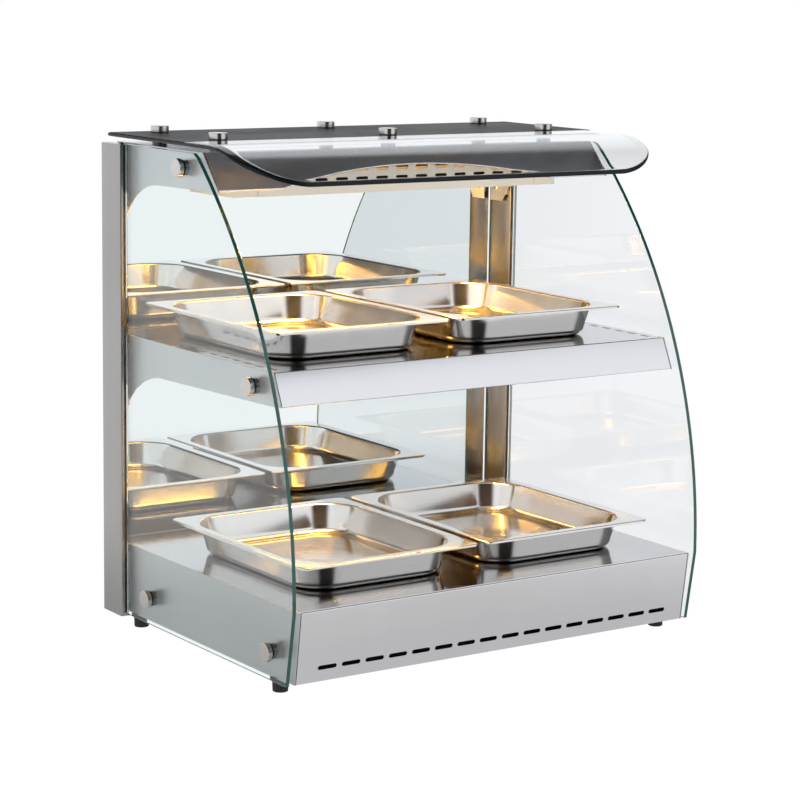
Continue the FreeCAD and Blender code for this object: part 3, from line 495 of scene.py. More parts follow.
def closed_mesh(name: str, points: np.ndarray, faces: Sequence[Sequence[int]]) -> bpy.types.Mesh:
    """Makes a mesh whose points are merged where they meet and whose faces look outwards."""
    mesh = bpy.data.meshes.new(name)
    mesh.from_pydata(np.asarray(points, dtype=float).reshape(-1, 3), [], faces)
    work = bmesh.new()
    work.from_mesh(mesh)
    bmesh.ops.remove_doubles(work, verts=work.verts, dist=MERGE_WITHIN)
    bmesh.ops.recalc_face_normals(work, faces=work.faces)
    work.to_mesh(mesh)
    work.free()
    return mesh


def face_values(mesh: bpy.types.Mesh, kind: str) -> np.ndarray:
    """Reads normal or center of every face, one row for each."""
    values = np.empty(len(mesh.polygons) * 3, dtype=np.float32)
    mesh.polygons.foreach_get(kind, values)
    return values.reshape(-1, 3)


def assign(mesh: bpy.types.Mesh, slots: np.ndarray) -> None:
    """Gives every face the material slot of that number."""
    mesh.polygons.foreach_set("material_index", slots.astype(np.int32))


class Shaper:
    """Turns arrays of points into pieces of the case.

    Edges that turn by more than sharp stay sharp. Faces within flat_within of each other count as
    flat, and only edges that turn by more than bevel_above are bevelled.
    """

    sharp = 35.0
    flat_within = math.radians(0.4)
    bevel_above = math.radians(40.0)

    def __init__(self, frame: dict, palette: Palette) -> None:
        """Keeps the frame and the finishes.

        Args:
            palette: the finishes.
        """
        self.nodes = frame["nodes"]
        self.palette = palette

    def piece(self, name: str, points: np.ndarray, faces: Sequence[Sequence[int]], finish: str,
              body: str = CASE, sharp: float = sharp) -> bpy.types.Object:
        """Makes a closed mesh into a piece that rides on a body.

        Args:
            name: the piece's name.
            points: its points, three columns.
            faces: point numbers of each face.
            finish: name of its finish.
            body: the body it moves with.
            sharp: edges that turn by more degrees than this stay sharp.

        Returns:
            The piece.
        """
        return self._finished(name, closed_mesh(name, points, faces), finish, body, sharp)

    def _finished(self, name: str, mesh: bpy.types.Mesh, finish: str, body: str,
                  sharp: float) -> bpy.types.Object:
        """Puts a mesh into the scene, smooth between its sharp edges, and joins it to its body."""
        mesh.shade_smooth()
        mesh.set_sharp_from_angle(angle=math.radians(sharp))
        mesh.materials.clear()
        mesh.materials.append(self.palette[finish])
        thing = bpy.data.objects.new(name, mesh)
        bpy.context.scene.collection.objects.link(thing)
        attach(thing, body)
        size = np.array(thing.dimensions) / MM
        LOG.info("%s in %s on %s: %.0f by %.0f by %.0f mm", name, finish, body, *size)
        return thing

    def loft(self, name: str, rings: np.ndarray, finish: str, body: str = CASE, sharp: float = sharp,
             closed: bool = False) -> bpy.types.Object:
        """Skins closed rings of equal length, and caps the first and last unless they join up."""
        rows, columns = rings.shape[:2]
        faces = quads(rows, columns, wrap_rows=closed, wrap_columns=True).tolist()
        if not closed:
            last = (rows - 1) * columns
            faces += [list(range(columns))[::-1], list(range(last, last + columns))]
        return self.piece(name, rings, faces, finish, body, sharp)

    def turned(self, profile: np.ndarray, centre: Sequence[float], axis: int, way: float,
               segments: int = 64) -> tuple[np.ndarray, np.ndarray]:
        """Turns a profile of radius and height about an axis through the centre.

        Each point of the profile becomes a circle of its radius, at its height along the axis.

        Args:
            profile: radius and height, from the axis at one end to the axis at the other.
            centre: where the height is 0.
            axis: 0, 1 or 2 for X, Y or Z.
            way: 1 or -1, which way the height goes.
            segments: points in a circle.

        Returns:
            The points, and the quads between them.
        """
        angles = np.linspace(0.0, 2 * math.pi, segments, endpoint=False)
        radius, height = profile[:, 0, None], profile[:, 1, None]
        flat = radius * np.cos(angles)
        points = np.stack([np.broadcast_to(height * way, flat.shape), flat, radius * np.sin(angles)], axis=-1)
        points = np.roll(points, axis, axis=-1) + np.asarray(centre)
        return points.reshape(-1, 3), quads(len(profile), segments, wrap_columns=True)

    def many(self, name: str, shapes: Sequence[tuple[np.ndarray, np.ndarray]], finish: str,
             body: str = CASE) -> bpy.types.Object:
        """Joins several closed shapes into one piece."""
        starts = np.cumsum([0] + [len(points) for points, _ in shapes[:-1]])
        points = np.concatenate([points for points, _ in shapes])
        faces = np.concatenate([f + start for (_, f), start in zip(shapes, starts)])
        return self.piece(name, points, faces.tolist(), finish, body)

    def eased(self, node: str, finish: str, width: float, body: str = CASE) -> bpy.types.Object:
        """Copies a CAD node with its edges broken by a small bevel, and hides the node.

        Args:
            node: the node.
            finish: name of its finish.
            width: of the bevel, in metres.
            body: the body it moves with.

        Returns:
            The piece.
        """
        mesh = self.nodes[node].data.copy()
        work = bmesh.new()
        work.from_mesh(mesh)
        bmesh.ops.remove_doubles(work, verts=work.verts, dist=2 * MERGE_WITHIN)
        bmesh.ops.dissolve_limit(work, angle_limit=self.flat_within, verts=work.verts, edges=work.edges)
        work.to_mesh(mesh)
        work.free()
        thing = self._finished(f"{node}_eased", mesh, finish, body, self.sharp)
        bevel = thing.modifiers.new("edges", "BEVEL")
        bevel.width = width
        bevel.segments = 2
        bevel.limit_method = "ANGLE"
        bevel.angle_limit = self.bevel_above
        bevel.harden_normals = True
        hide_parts(node)
        return thing

    def dress(self, finish: str, *nodes: str) -> None:
        """Gives CAD nodes a finish and leaves their shape alone."""
        for node in nodes:
            for slot in self.nodes[node].material_slots:
                slot.material = self.palette[finish]
        LOG.info("dressed %d nodes in %s", len(nodes), finish)


def part_middles(mesh: bpy.types.Mesh) -> list[np.ndarray]:
    """Finds the middle of the box of each separate solid in a mesh.

    Args:
        mesh: a node's mesh.

    Returns:
        The middles, in the order of the solids' first points.
    """
    work = bmesh.new()
    work.from_mesh(mesh)
    bmesh.ops.remove_doubles(work, verts=work.verts, dist=MERGE_WITHIN)
    seen, middles = set(), []
    for first in work.verts:
        if first in seen:
            continue
        part = [first]
        seen.add(first)
        for point in part:
            fresh = {edge.other_vert(point) for edge in point.link_edges} - seen
            part += fresh
            seen |= fresh
        places = np.array([point.co for point in part])
        middles.append((places.min(axis=0) + places.max(axis=0)) / 2)
    work.free()
    return middles


def middle_and_half(node: str) -> tuple[np.ndarray, np.ndarray]:
    """Returns the middle of a node's box and its half-sizes."""
    low, high = np.array(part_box(node))
    return (low + high) / 2, (high - low) / 2


# Sub-assemblies


@dataclass
class Pan:
    """A pressed gastronorm pan: flat flange, turned-down rim and a well with deep round corners.

    corner is the flange's, mouth_corner and floor_corner are the well's. mouth_round and
    floor_round are the bends from flange to wall and from wall to floor, and taper is how far the
    wall leans in between them.
    """

    node: str
    flange: float = 12.0 * MM
    rim_radius: float = 1.3 * MM
    rim_drop: float = 3.0 * MM
    rim_inside: float = 0.4 * MM
    corner: float = 10.0 * MM
    mouth_corner: float = 56.0 * MM
    floor_corner: float = 48.0 * MM
    mouth_round: float = 2.5 * MM
    floor_round: float = 12.0 * MM
    taper: float = 7.0 * MM
    wall: float = 0.8 * MM
    steps: int = 8

    def _ring(self, inset: float, corner: float, height: float, half: np.ndarray) -> np.ndarray:
        """Returns one rounded rectangle of the pan, at a height."""
        return at_height(rounded_rectangle(half[0] - inset, half[1] - inset, corner, 14, 8), height)

    def _skin(self, half: np.ndarray, bottom: float, top: float, wall: float) -> list[np.ndarray]:
        """Rings of one face of the sheet from the flange down into the floor.

        The flange meets the wall in a quarter circle, and the wall meets the floor in another.
        The inside's bends share their centres with the outside's, so the sheet keeps its thickness.

        Args:
            half: half-sizes of the flange.
            bottom: height of the underside.
            top: height of the flange's upper face.
            wall: 0 for the outside, or the sheet's thickness for the inside.

        Returns:
            The rings, from the flange to the floor.
        """
        angles = np.linspace(0.0, math.pi / 2, self.steps)
        flange_z = top - self.wall + wall
        bend = self.mouth_round + wall
        rings = []
        for a in angles:
            move = bend * math.sin(a)
            rings.append(self._ring(self.flange + move, self.mouth_corner - move,
                                    flange_z - bend * (1 - math.cos(a)), half))
        bend = self.floor_round - wall
        base = self.flange + self.mouth_round + self.taper + wall
        for a in angles:
            move = bend * (1 - math.cos(a))
            rings.append(self._ring(base + move, self.floor_corner - wall - move,
                                    bottom + wall + bend * (1 - math.sin(a)), half))
        return rings

    def build(self, shaper: Shaper) -> None:
        """Builds the pan and hides its plain node.

        The rings run from the middle of the floor up the inside, over the flange, round the rim
        and down the outside.
        """
        centre, half = middle_and_half(self.node)
        bottom, top = centre[2] - half[2], centre[2] + half[2]
        r, low = self.rim_radius, top - self.rim_drop
        rings = self._skin(half, bottom, top, self.wall)[::-1]
        for a in np.linspace(math.pi / 2, 0.0, self.steps):
            inset = r * (1 - math.cos(a))
            rings.append(self._ring(inset, self.corner - inset, top - r + r * math.sin(a), half))
        rings.append(self._ring(0.0, self.corner, low, half))
        for height in (low, top - self.wall - self.rim_inside):
            rings.append(self._ring(self.wall, self.corner - self.wall, height, half))
        rings = np.array(rings + self._skin(half, bottom, top, 0.0))
        rings[..., :2] += centre[:2]
        pan = shaper.loft(f"{self.node}_pressed", rings, "steel_pans", body=self.node, sharp=50.0)
        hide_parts(self.node)


@dataclass(frozen=True)
class Front:
    """A folded sheet that closes the front of the base, the shelf or the canopy.

    lean is how far the upper folded edge lies behind the lower one, and the returns are how far
    the sheet goes back beyond each of them. The arch, if it has one, rises from the lower edge.
    """

    node: str
    lean: float
    fold: float = 1.5 * MM
    thickness: float = 1.2 * MM
    gap: float = 0.8 * MM
    upper_return: float = 1.35 * MM
    lower_return: float = 1.9 * MM
    arch_half: float = 0.0
    arch_rise: float = 0.0
    columns: int = 97
    sharp: float = 40.0

    def edges(self) -> tuple[tuple[float, float], tuple[float, float]]:
        """Returns Y and Z of the upper edge and of the lower one, from the node's box."""
        low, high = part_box(self.node)
        upper = (low[1] + max(self.lean, 0.0), high[2])
        return upper, (low[1] + max(-self.lean, 0.0), low[2])

    def _lift(self, x: np.ndarray) -> np.ndarray:
        """Height of the arch at each X: a circle through its two ends and its crown."""
        if not self.arch_half:
            return np.zeros_like(x)
        radius = (self.arch_half ** 2 + self.arch_rise ** 2) / (2 * self.arch_rise)
        inside = np.clip(radius ** 2 - x ** 2, 0.0, None)
        return np.clip(np.sqrt(inside) - (radius - self.arch_rise), 0.0, None)

    def build(self, shaper: Shaper) -> bpy.types.Object:
        """Builds the sheet: its folded profile is carried along X, and its lower edge follows the arch.

        Returns:
            The piece.
        """
        (y1, z1), (y0, z0) = self.edges()
        corners = [(y1 + self.upper_return, z1), (y1, z1), (y0, z0), (y0 + self.lower_return, z0)]
        path = rounded_path(corners, self.fold)
        outline = thickened(path, self.thickness)
        half_x = middle_and_half(self.node)[1][0] - self.gap
        x = np.linspace(-half_x, half_x, self.columns)
        if self.arch_half:
            x = np.sort(np.concatenate([x, [-self.arch_half, self.arch_half]]))
        share = np.clip((z1 - outline[:, 1]) / (z1 - z0), 0.0, 1.0) > 0.5
        slope = np.array([y1 - y0, z1 - z0]) / (z1 - z0)
        rings = np.empty((len(x), len(outline), 3))
        rings[..., 0] = x[:, None]
        rings[..., 1:] = outline[None] + (self._lift(x)[:, None] * share)[..., None] * slope
        front = shaper.loft(f"{self.node}_folded", rings, "steel_fronts", sharp=self.sharp)
        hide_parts(self.node)
        return front


@dataclass
class Vents:
    """A row of slots with round ends, cut through the base front."""

    count: int = 16
    pitch: float = 34.4 * MM
    length: float = 27.0 * MM
    height: float = 5.5 * MM
    above_edge: float = 17.8 * MM
    reach: float = 12.0 * MM
    steps: int = 8

    def cut(self, sheet: bpy.types.Object, edge: tuple[float, float]) -> None:
        """Cuts the row through a sheet.

        Each cutter is the outline of a slot, two half circles joined by straight runs, carried
        along Y through the sheet.

        Args:
            sheet: the piece that is cut.
            edge: Y and Z of the sheet's lower edge.
        """
        r = self.height / 2
        angles = np.linspace(-math.pi / 2, math.pi / 2, self.steps + 1)
        right = np.stack([self.length / 2 - r + r * np.cos(angles), r * np.sin(angles)], axis=1)
        outline = np.concatenate([right, -right])
        centres = (np.arange(self.count) - (self.count - 1) / 2) * self.pitch
        n = len(outline)
        points, faces = [], []
        for k, centre in enumerate(centres):
            for y in (edge[0] - self.reach, edge[0] + self.reach):
                points.append(np.column_stack([outline[:, 0] + centre, np.full(n, y),
                                               outline[:, 1] + edge[1] + self.above_edge]))
            first = 2 * n * k
            faces += (quads(2, n, wrap_columns=True) + first).tolist()
            faces += [list(range(first, first + n))[::-1], list(range(first + n, first + 2 * n))]
        cutter = bpy.data.objects.new("slot_cutters",
                                      closed_mesh("slot_cutters", np.concatenate(points), faces))
        bpy.context.scene.collection.objects.link(cutter)
        modifier = sheet.modifiers.new("slots", "BOOLEAN")
        modifier.object = cutter
        modifier.solver = "EXACT"
        graph = bpy.context.evaluated_depsgraph_get()
        solid = bpy.data.meshes.new_from_object(sheet.evaluated_get(graph))
        sheet.modifiers.clear()
        sheet.data = solid
        bpy.data.objects.remove(cutter)
        solid.set_sharp_from_angle(angle=math.radians(Front.sharp))
        LOG.info("vents: %d slots", self.count)


@dataclass
class Fronts:
    """The three folded fronts."""

    base: Front = Front("base_front_panel", -11.8 * MM)
    shelf: Front = Front("shelf_fascia", 18.5 * MM, lower_return=2.6 * MM)
    canopy: Front = Front("canopy_fascia", 39.5 * MM, lower_return=3.6 * MM, arch_half=208.0 * MM,
                          arch_rise=23.0 * MM)

    def build(self, shaper: Shaper) -> None:
        """Builds all three, and cuts the base's vents."""
        Vents().cut(self.base.build(shaper), self.base.edges()[1])
        self.shelf.build(shaper)
        self.canopy.build(shaper)


@dataclass
class Posts:
    """The two flat hollow posts. Their end caps are dressed with the cabinet."""

    corner: float = 2.0 * MM
    inner_corner: float = 1.04 * MM
    wall: float = 1.2 * MM

    def build(self, shaper: Shaper) -> None:
        """Builds both posts: a rounded rectangle carried up Z, outside and inside."""
        for side in ("left", "right"):
            node = f"post_{side}"
            centre, half = middle_and_half(node)
            rings = []
            for inset, corner, way in ((0.0, self.corner, 1), (self.wall, self.inner_corner, -1)):
                outline = rounded_rectangle(half[0] - inset, half[1] - inset, corner, 6, 4)
                rings += [at_height(outline, height * way) + centre for height in (-half[2], half[2])]
            post = shaper.loft(f"{node}_tube", np.array(rings), "steel_posts", closed=True)
            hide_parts(node)


@dataclass
class SideGlass:
    """The two shaped side panes, clear on their faces and green at their polished edges."""

    arris: float = 0.5 * MM

    def build(self, shaper: Shaper) -> None:
        """Builds both panes from their nodes and gives the edge faces their own finish."""
        for side in ("left", "right"):
            # Each side pane takes its own tint: the left lighter as painted light, the right darker as
            # painted shade.
            pane = shaper.eased(f"side_glass_{side}", f"glass_{side}", self.arris)
            pane.data.materials.append(shaper.palette["glass_edge"])
            normals = face_values(pane.data, "normal")
            assign(pane.data, (np.abs(normals[:, 0]) < 0.5) & (normals[:, 1] < 0.5))
            pane.modifiers["edges"].material = 1


@dataclass
class TopGlass:
    """The bent top pane, with broad round front corners and a black print at the rear.

    front_ease and front_step shape how its front edge closes, as shares of half its thickness.
    """

    thickness: float = 5.0 * MM
    bend_radius: float = 202.5 * MM
    bend_start: float = -36.3 * MM
    bend_angle: float = math.radians(34.0)
    corner_x: float = 90.0 * MM
    corner_y: float = 65.0 * MM
    print_front: float = 16.0 * MM
    print_thickness: float = 0.15 * MM
    print_sink: float = 0.02 * MM
    rear_margin: float = 0.3 * MM
    front_ease: float = 0.35
    front_step: float = 0.02
    rim_slope: float = 0.62
    across_steps: int = 41
    edge_steps: int = 9

    def _height(self, y: np.ndarray, top: float) -> tuple[np.ndarray, np.ndarray]:
        """Height of the upper face and its slope angle at each Y.

        Behind the bend it is flat. In the bend it is a circle about a point one bend radius below
        the flat face, and beyond the bend's angle it runs on straight.

        Args:
            y: places along the pane.
            top: height of the flat face.

        Returns:
            Heights and slope angles.
        """
        reach = np.clip(self.bend_start - y, 0.0, None)
        limit = self.bend_radius * math.sin(self.bend_angle)
        angle = np.arcsin(np.clip(reach, 0.0, limit) / self.bend_radius)
        straight = np.clip(reach - limit, 0.0, None) * math.tan(self.bend_angle)
        return top - self.bend_radius * (1 - np.cos(angle)) - straight, angle

    def build(self, shaper: Shaper) -> None:
        """Builds the pane as stadium-shaped sections carried from the front to the rear.

        A section spans the pane's width there, which shrinks at the front as an ellipse, and has
        half-round edges. Its thickness closes to nothing over the last half thickness at both ends.
        """
        low, high = np.array(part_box("top_glass"))
        half, front, rear, top = high[0], low[1], high[1], high[2]
        r = self.thickness / 2
        turn = np.linspace(0.0, math.pi / 2, self.edge_steps)
        sweep = np.linspace(math.pi / 2, 0.0, 25)[1:]
        y = np.concatenate([front + r * (1 - np.cos(turn[:-1])) * self.front_step,
                            front + self.corner_y * (1 - np.sin(sweep)),
                            np.linspace(front + self.corner_y, self.bend_start, 18)[1:],
                            np.linspace(self.bend_start, rear - r, 12)[1:],
                            rear - r + r * np.sin(turn[1:])])
        y = np.unique(np.clip(y, front, rear))
        inside = np.clip((front + self.corner_y - y) / self.corner_y, 0.0, 1.0)
        width = half - self.corner_x + self.corner_x * np.sqrt(np.clip(1 - inside ** 2, 0.0, 1.0))
        to_end = np.minimum((y - front) / (self.front_ease * r), (rear - y) / r)
        full = np.sqrt(np.clip(1 - (1 - np.clip(to_end, 0.0, 1.0)) ** 2, 0.0, 1.0))
        height, slope = self._height(y, top)
        edge = np.linspace(-math.pi / 2, math.pi / 2, self.edge_steps)
        across = np.linspace(-1.0, 1.0, self.across_steps)
        flat, side = np.ones(self.across_steps), np.ones(self.edge_steps)
        u = np.concatenate([across, side, across[::-1], -side])
        out = np.concatenate([0 * flat, np.cos(edge[::-1]), 0 * flat, -np.cos(edge)])
        up = np.concatenate([flat, np.sin(edge[::-1]), -flat, np.sin(edge)])
        x = u[None] * (width[:, None] - r) + out[None] * r
        lift = up[None] * r * full[:, None] - r
        rings = np.stack([x, np.broadcast_to(y[:, None], x.shape),
                          height[:, None] + lift / np.cos(slope)[:, None]], axis=-1)
        pane = shaper.loft("top_glass_bent", rings, "glass_visor", sharp=60.0)
        self._edge(shaper, pane)
        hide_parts("top_glass")
        self._print(shaper, half, rear, top)

    def _edge(self, shaper: Shaper, pane: bpy.types.Object) -> None:
        """Gives the faces at the pane's rim the finish of a polished edge."""
        pane.data.materials.append(shaper.palette["visor_edge"])
        assign(pane.data, np.abs(face_values(pane.data, "normal")[:, 2]) < self.rim_slope)

    def _print(self, shaper: Shaper, half: float, rear: float, top: float) -> None:
        """Lays the thin black print on the flat rear of the pane."""
        length = rear - self.rear_margin - self.print_front
        outline = rounded_rectangle(half - self.rear_margin, length / 2, 1.0 * MM, 4, 4)
        outline[:, 1] += self.print_front + length / 2
        rings = np.array([at_height(outline, z) for z in (top - self.print_sink, top + self.print_thickness)])
        layer = shaper.loft("top_glass_print", rings, "black_print")


@dataclass
class Standoffs:
    """The round caps that clamp the glass, with barrels, washers and nuts behind it.

    ease rounds a cap's face, heel and point are the chamfers of its underside and its stud, and
    seat is how far the underside stands off the glass.
    """

    radius: float = 12.0 * MM
    stud: float = 3.0 * MM
    stud_length: float = 21.0 * MM
    ease: float = 0.7 * MM
    heel: float = 0.25 * MM
    point: float = 0.4 * MM
    seat: float = 0.7 * MM

    def _profile(self, height: float) -> np.ndarray:
        """Radius and height of a cap, from its eased face down its stud."""
        turn = np.linspace(0.0, math.pi / 2, 6)
        rim = np.stack([self.radius - self.ease + self.ease * np.sin(turn),
                        height - self.ease + self.ease * np.cos(turn)], axis=1)
        face = np.array([(0.0, height), (self.radius * 0.5, height)])
        heel, point, end = self.heel, self.point, -self.stud_length
        stud = np.array([(self.radius, heel), (self.radius - heel, 0.0), (self.stud, 0.0),
                         (self.stud, point + end), (self.stud - point, end), (0.0, end)])
        return np.concatenate([face, rim, stud])

    def build(self, shaper: Shaper) -> None:
        """Turns the side caps and the top caps."""
        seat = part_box("side_glass_right")[1][0] + self.seat
        profile = self._profile(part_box("side_standoff_caps")[1][0] - seat)
        shapes = [shaper.turned(profile, (math.copysign(seat, x), y, z), 0, math.copysign(1.0, x))
                  for x, y, z in part_middles(shaper.nodes["side_standoff_caps"].data)]
        caps = shaper.many("side_caps_turned", shapes, "steel_turned")
        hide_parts("side_standoff_caps")
        low, high = np.array(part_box("top_standoff_caps"))
        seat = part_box("top_glass")[1][2] + self.seat
        profile = self._profile(high[2] - seat)
        xs = (low[0] + self.radius, 0.0, high[0] - self.radius)
        ys = (low[1] + self.radius, high[1] - self.radius)
        shapes = [shaper.turned(profile, (x, y, seat), 2, 1.0) for y in ys for x in xs]
        caps = shaper.many("top_caps_turned", shapes, "steel_turned")
        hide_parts("top_standoff_caps")
        shaper.dress("steel_turned", "standoff_nuts", "screws", "thermostat_spindle")
        # The barrels get darkened steel as painted shade.
        shaper.dress("steel_barrels_painted_shade", "side_standoff_barrels", "top_standoff_barrels")
        shaper.dress("black_rubber", "glass_washers", "feet")


@dataclass
class RearDoors:
    """Two mirrored doors with their clamps, pulls, brackets and catches."""

    arris: float = 0.8 * MM
    corner: float = 1.5 * MM
    fitting_ease: float = 0.3 * MM
    catch_ease: float = 0.5 * MM

    def _pane(self, shaper: Shaper, tier: str) -> None:
        """Builds one mirror: a slab with ground edges, silver in front and painted behind."""
        node = f"door_{tier}_mirror"
        centre, half = middle_and_half(node)
        rings = []
        for depth, inset in ((-half[1], self.arris), (-half[1] + self.arris, 0.0),
                             (half[1] - self.arris, 0.0), (half[1], self.arris)):
            outline = rounded_rectangle(half[0] - inset, half[2] - inset, self.corner, 4, 4)
            ring = np.column_stack([outline[:, 0], np.full(len(outline), depth), outline[:, 1]])
            rings.append(ring + centre)
        pane = shaper.loft(f"{node}_ground", np.array(rings), "mirror_silver", body=f"door_{tier}",
                           sharp=20.0)
        pane.data.materials.append(shaper.palette["glass_edge"])
        pane.data.materials.append(shaper.palette["mirror_backing"])
        facing = face_values(pane.data, "normal")[:, 1]
        assign(pane.data, np.where(facing > 0.9, 2, np.where(facing > -0.9, 1, 0)))
        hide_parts(node)

    def build(self, shaper: Shaper) -> None:
        """Builds both doors and what they hang on."""
        for tier in ("lower", "upper"):
            self._pane(shaper, tier)
            body = f"door_{tier}"
            for part in ("fittings", "pull"):
                piece = shaper.eased(f"{body}_{part}", "steel_fittings", self.fitting_ease, body=body)
        shaper.eased("pivot_brackets", "steel_fittings", self.fitting_ease)
        shaper.eased("door_catches", "black_plastic", self.catch_ease)


@dataclass
class Lighting:
    """Lamp housing, shelf lamp and what they light with.

    The lights hang just below the metal. Those of the canopy are shorter than its lamps.
    """

    warm: tuple[float, float, float] = (1.0, 0.51, 0.10)
    housing_watts: float = 5.0
    shelf_watts: float = 6.0
    below: float = 1.5 * MM
    slit: float = 14.0 * MM
    canopy_rows: tuple[float, float] = (45.0 * MM, 75.0 * MM)
    shelf_row: float = 20.0 * MM
    shelf_length: float = 320.0 * MM
    short_by: float = 30.0 * MM
    ease: float = 0.4 * MM

    @staticmethod
    def _paint_inside_shade(shaper: Shaper, mesh: bpy.types.Mesh, middle: np.ndarray) -> None:
        """Paints shade on the faces that look towards the middle of the housing, seen along X, with a
        near-black finish.
        """
        mesh.materials.append(shaper.palette["steel_painted_shade"])
        inward = (middle - face_values(mesh, "center")) * face_values(mesh, "normal")
        assign(mesh, inward[:, 1:].sum(axis=1) > 0)

    def _lamp(self, name: str, place: tuple[float, float, float], length: float, width: float,
              watts: float) -> None:
        """Adds a long warm light that shines down."""
        light = bpy.data.lights.new(name, "AREA")
        light.shape = "RECTANGLE"
        light.size = length
        light.size_y = width
        light.energy = watts
        light.color = self.warm
        lamp = bpy.data.objects.new(name, light)
        lamp.location = place
        lamp.visible_camera = False
        bpy.context.scene.collection.objects.link(lamp)

    def build(self, shaper: Shaper) -> None:
        """Builds the housing and adds the lamps' light."""
        for node in ("lamp_housing", "lamp_end_covers"):
            # The housing's cream-tinted steel is painted warm lamp light.
            sheet = shaper.eased(node, "steel_housing_painted_warm_light", self.ease)
            # The housing's inward faces get painted shade, so its slots look dark.
            self._paint_inside_shade(shaper, sheet.data, middle_and_half(node)[0])
        shaper.dress("quartz_glow", "quartz_lamps")
        shaper.dress("ceramic", "lamp_holders")
        shaper.dress("glass_cover", "shelf_lamp_cover")
        shaper.dress("heater_sheath", "deck_heater", "shelf_heater")
        length = 2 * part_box("quartz_lamps")[1][0] - self.short_by
        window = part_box("lamp_housing")[0][2]
        for y in self.canopy_rows:
            self._lamp("canopy_light", (0.0, y, window - self.below), length, self.slit, self.housing_watts)
        under = min(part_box("shelf_lamp_cover")[0][2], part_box("shelf_underside")[0][2])
        self._lamp("shelf_light", (0.0, self.shelf_row, under - self.below), self.shelf_length,
                   2 * self.slit, self.shelf_watts)
        LOG.info("lamps lit")


@dataclass
class Cabinet:
    """The remaining sheet metal: side panels, decks, undersides, base and post fittings."""

    ease: float = 0.25 * MM

    def build(self, shaper: Shaper) -> None:
        """Dresses the panels. Those with edges in view get them eased."""
        for part in ("base", "shelf", "canopy"):
            for side in ("left", "right"):
                shaper.eased(f"{part}_side_{side}", "steel_sides", self.ease)
        shaper.dress("steel_decks", "base_deck", "shelf_deck")
        shaper.dress("steel_fronts", "canopy_top", "shelf_underside", "canopy_underside", "base_rear_panel")
        shaper.dress("steel_inside", "base_pan", "lamp_hangers", "post_spacers")
        shaper.eased("post_end_caps", "steel_posts", self.ease)


@dataclass
class Controls:
    """Knob, rockers, signal light and inlet on the staff's side, with bevels on the knob, rockers, switch
    bodies and inlet.
    """

    knob_ease: float = 0.5 * MM
    rocker_ease: float = 0.3 * MM
    body_ease: float = 0.4 * MM

    def build(self, shaper: Shaper) -> None:
        """Eases the moulded pieces and dresses the small ones."""
        knob = shaper.eased("thermostat_knob", "black_plastic", self.knob_ease, body="knob")
        for node in ("power_rocker", "light_rocker"):
            shaper.eased(node, "red_rocker", self.rocker_ease, body=node)
        for node in ("switch_bodies", "power_inlet"):
            shaper.eased(node, "black_plastic", self.body_ease)
        shaper.dress("black_plastic", "thermostat")
        shaper.dress("amber_lens", "indicator_light")
        shaper.dress("plated_blades", "inlet_pins")


# Studio


@dataclass(frozen=True)
class Gap:
    """A dim upright strip between two studio lights, as angles in radians from -Y towards +X."""

    azimuth: float
    inner: float
    outer: float
    level: float


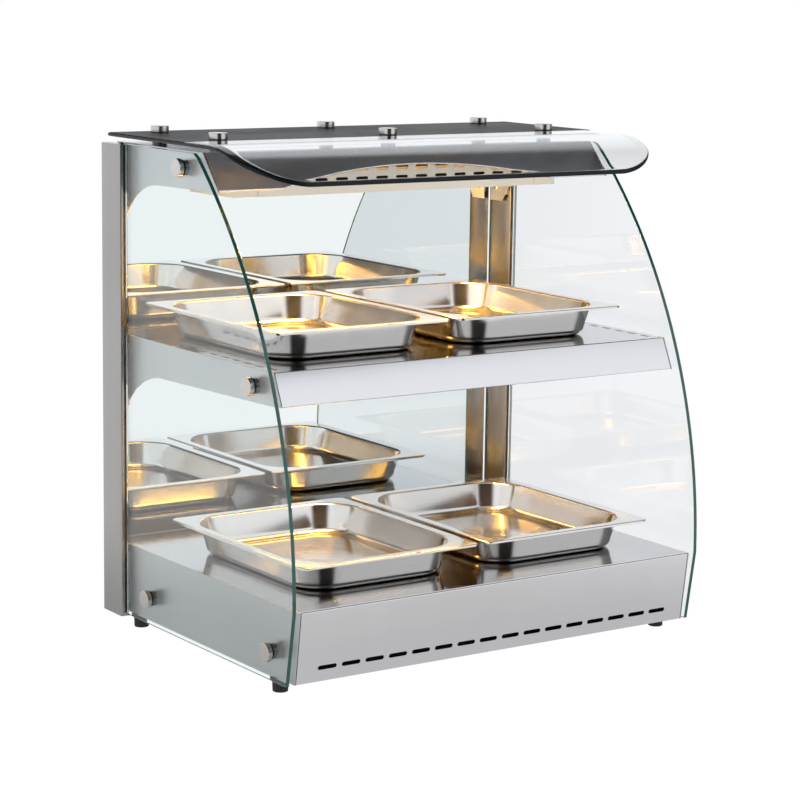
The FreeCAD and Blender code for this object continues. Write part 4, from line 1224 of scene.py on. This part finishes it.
@dataclass
class Studio:
    """Floor, soft surroundings and the camera.

    overhead is the level above overhead_rise, two heights of a direction of length 1. Reflections
    see the floor at the first of floor_levels, a painted shadow, up to the first of level_reach from
    the middle, and at the second beyond the second. The gaps between the lights show from gap_reach on.
    """

    lens: float = 111.3
    sensor: float = 36.0
    yaw: float = 0.6007
    pitch: float = 0.1719
    roll: float = 0.0151
    eye: tuple[float, float, float] = (-1.8186, -2.6529, 0.8636)
    floor_half: float = 6.0
    overhead: float = 0.14
    overhead_rise: tuple[float, float] = (0.56, 0.64)
    floor_levels: tuple[float, float] = (0.58, 0.95)
    level_reach: tuple[float, float] = (0.35, 1.1)
    gap_reach: tuple[float, float] = (0.8, 1.7)
    sky: tuple[float, float, float, float] = (1.0, 1.02, 1.05, 1.0)
    gaps: tuple[Gap, ...] = (Gap(math.radians(-14), math.radians(17), math.radians(31), 0.03),
                             Gap(math.radians(95), math.radians(24), math.radians(44), 0.22))

    def camera(self) -> None:
        """Sets up the camera: its axes come from yaw, pitch and roll."""
        ahead = Vector((math.sin(self.yaw) * math.cos(self.pitch), math.cos(self.yaw) * math.cos(self.pitch),
                        -math.sin(self.pitch)))
        right = Vector((math.cos(self.yaw), -math.sin(self.yaw), 0.0))
        up = right.cross(ahead)
        tilted = math.cos(self.roll) * right + math.sin(self.roll) * up
        upright = math.cos(self.roll) * up - math.sin(self.roll) * right
        data = bpy.data.cameras.new("camera")
        data.lens = self.lens
        data.sensor_width = self.sensor
        data.clip_end = 50.0
        camera = bpy.data.objects.new("camera", data)
        axes = Matrix((tilted, upright, -ahead)).transposed()
        camera.matrix_world = Matrix.Translation(self.eye) @ axes.to_4x4()
        bpy.context.scene.collection.objects.link(camera)
        bpy.context.scene.camera = camera

    def between_lights(self, wires: Wiring, way: bpy.types.NodeSocket, level: bpy.types.NodeSocket
                       ) -> bpy.types.NodeSocket:
        """Dims a level in the gaps between the studio lights.

        Args:
            wires: of the tree that is being built.
            way: a direction from the case; its height doesn't matter.
            level: the level outside the gaps.

        Returns:
            The dimmed level.
        """
        flat = wires.vector("NORMALIZE", wires.vector("MULTIPLY", way, (1.0, 1.0, 0.0)))
        for gap in self.gaps:
            middle = (math.sin(gap.azimuth), -math.cos(gap.azimuth), 0.0)
            near = wires.vector("DOT_PRODUCT", flat, middle, out="Value")
            dim = wires.span(near, math.cos(gap.outer), math.cos(gap.inner), 1.0, gap.level, smooth=True)
            level = wires.math("MULTIPLY", level, dim)
        return level

    def surroundings(self) -> None:
        """Makes the surroundings: bright all round, dim overhead and in the gaps between the lights.

        What is seen directly or through clear glass is an even white.
        """
        world = bpy.data.worlds.new("studio")
        world.use_nodes = True
        bpy.context.scene.world = world
        wires = Wiring(world.node_tree)
        ground = next(n for n in world.node_tree.nodes if n.type == "BACKGROUND")
        way = wires.vector("NORMALIZE", wires.add("ShaderNodeTexCoord").outputs["Generated"])
        rise = wires.add("ShaderNodeSeparateXYZ")
        wires.feed(rise, Vector=way)
        overhead = wires.span(rise.outputs[2], *self.overhead_rise, 1.0, self.overhead, smooth=True)
        level = self.between_lights(wires, way, overhead)
        soft = wires.blend(level, BLACK, self.sky)
        wires.feed(ground, Color=wires.blend(wires.seen_directly(), soft, WHITE), Strength=1.0)

    def floor(self) -> None:
        """Lays a white floor. Reflections see it dimmer near the case, a painted shadow, and in the lights'
        gaps.
        """
        s = self.floor_half
        mesh = bpy.data.meshes.new("floor")
        mesh.from_pydata([(-s, -s, 0), (s, -s, 0), (s, s, 0), (-s, s, 0)], [], [(0, 1, 2, 3)])
        material = bpy.data.materials.new("pale_floor")
        material.use_nodes = True
        wires = Wiring(material.node_tree)
        shader = next(n for n in material.node_tree.nodes if n.type == "BSDF_PRINCIPLED")
        place = wires.add("ShaderNodeTexCoord").outputs["Object"]
        reach = wires.vector("LENGTH", place, out="Value")
        # Painted shadow: the floor seen in reflections is dimmer near the case.
        near = wires.span(reach, *self.level_reach, *self.floor_levels, smooth=True)
        dimmed = self.between_lights(wires, place, near)
        glow = wires.blend(wires.span(reach, *self.gap_reach, smooth=True), near, dimmed)
        strength = wires.blend(wires.seen_directly(), glow, WHITE)
        wires.feed(shader, Base_Color=(0.035, 0.04, 0.05, 1.0), Roughness=0.9, Specular_IOR_Level=0.0,
                   Emission_Color=strength, Emission_Strength=1.0)
        mesh.materials.append(material)
        floor = bpy.data.objects.new("floor", mesh)
        bpy.context.scene.collection.objects.link(floor)

    def build(self) -> None:
        """Sets up camera, surroundings, floor and how light becomes colour."""
        self.camera()
        self.surroundings()
        self.floor()
        scene = bpy.context.scene
        scene.view_settings.view_transform = "Standard"
        scene.cycles.sample_clamp_indirect = 6.0
        scene.cycles.glossy_bounces = 6
        LOG.info("studio ready")


def main() -> None:
    """Builds the case around its frame, in order."""
    logging.basicConfig(level=logging.INFO, format="%(name)s: %(message)s")
    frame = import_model()
    palette = Palette()
    Studio().build()
    shaper = Shaper(frame, palette)
    Cabinet().build(shaper)
    Posts().build(shaper)
    Fronts().build(shaper)
    for tier in ("lower", "upper"):
        for side in ("left", "right"):
            Pan(f"pan_{tier}_{side}").build(shaper)
    Lighting().build(shaper)
    RearDoors().build(shaper)
    SideGlass().build(shaper)
    TopGlass().build(shaper)
    Standoffs().build(shaper)
    Controls().build(shaper)


if __name__ == "__main__":
    main()
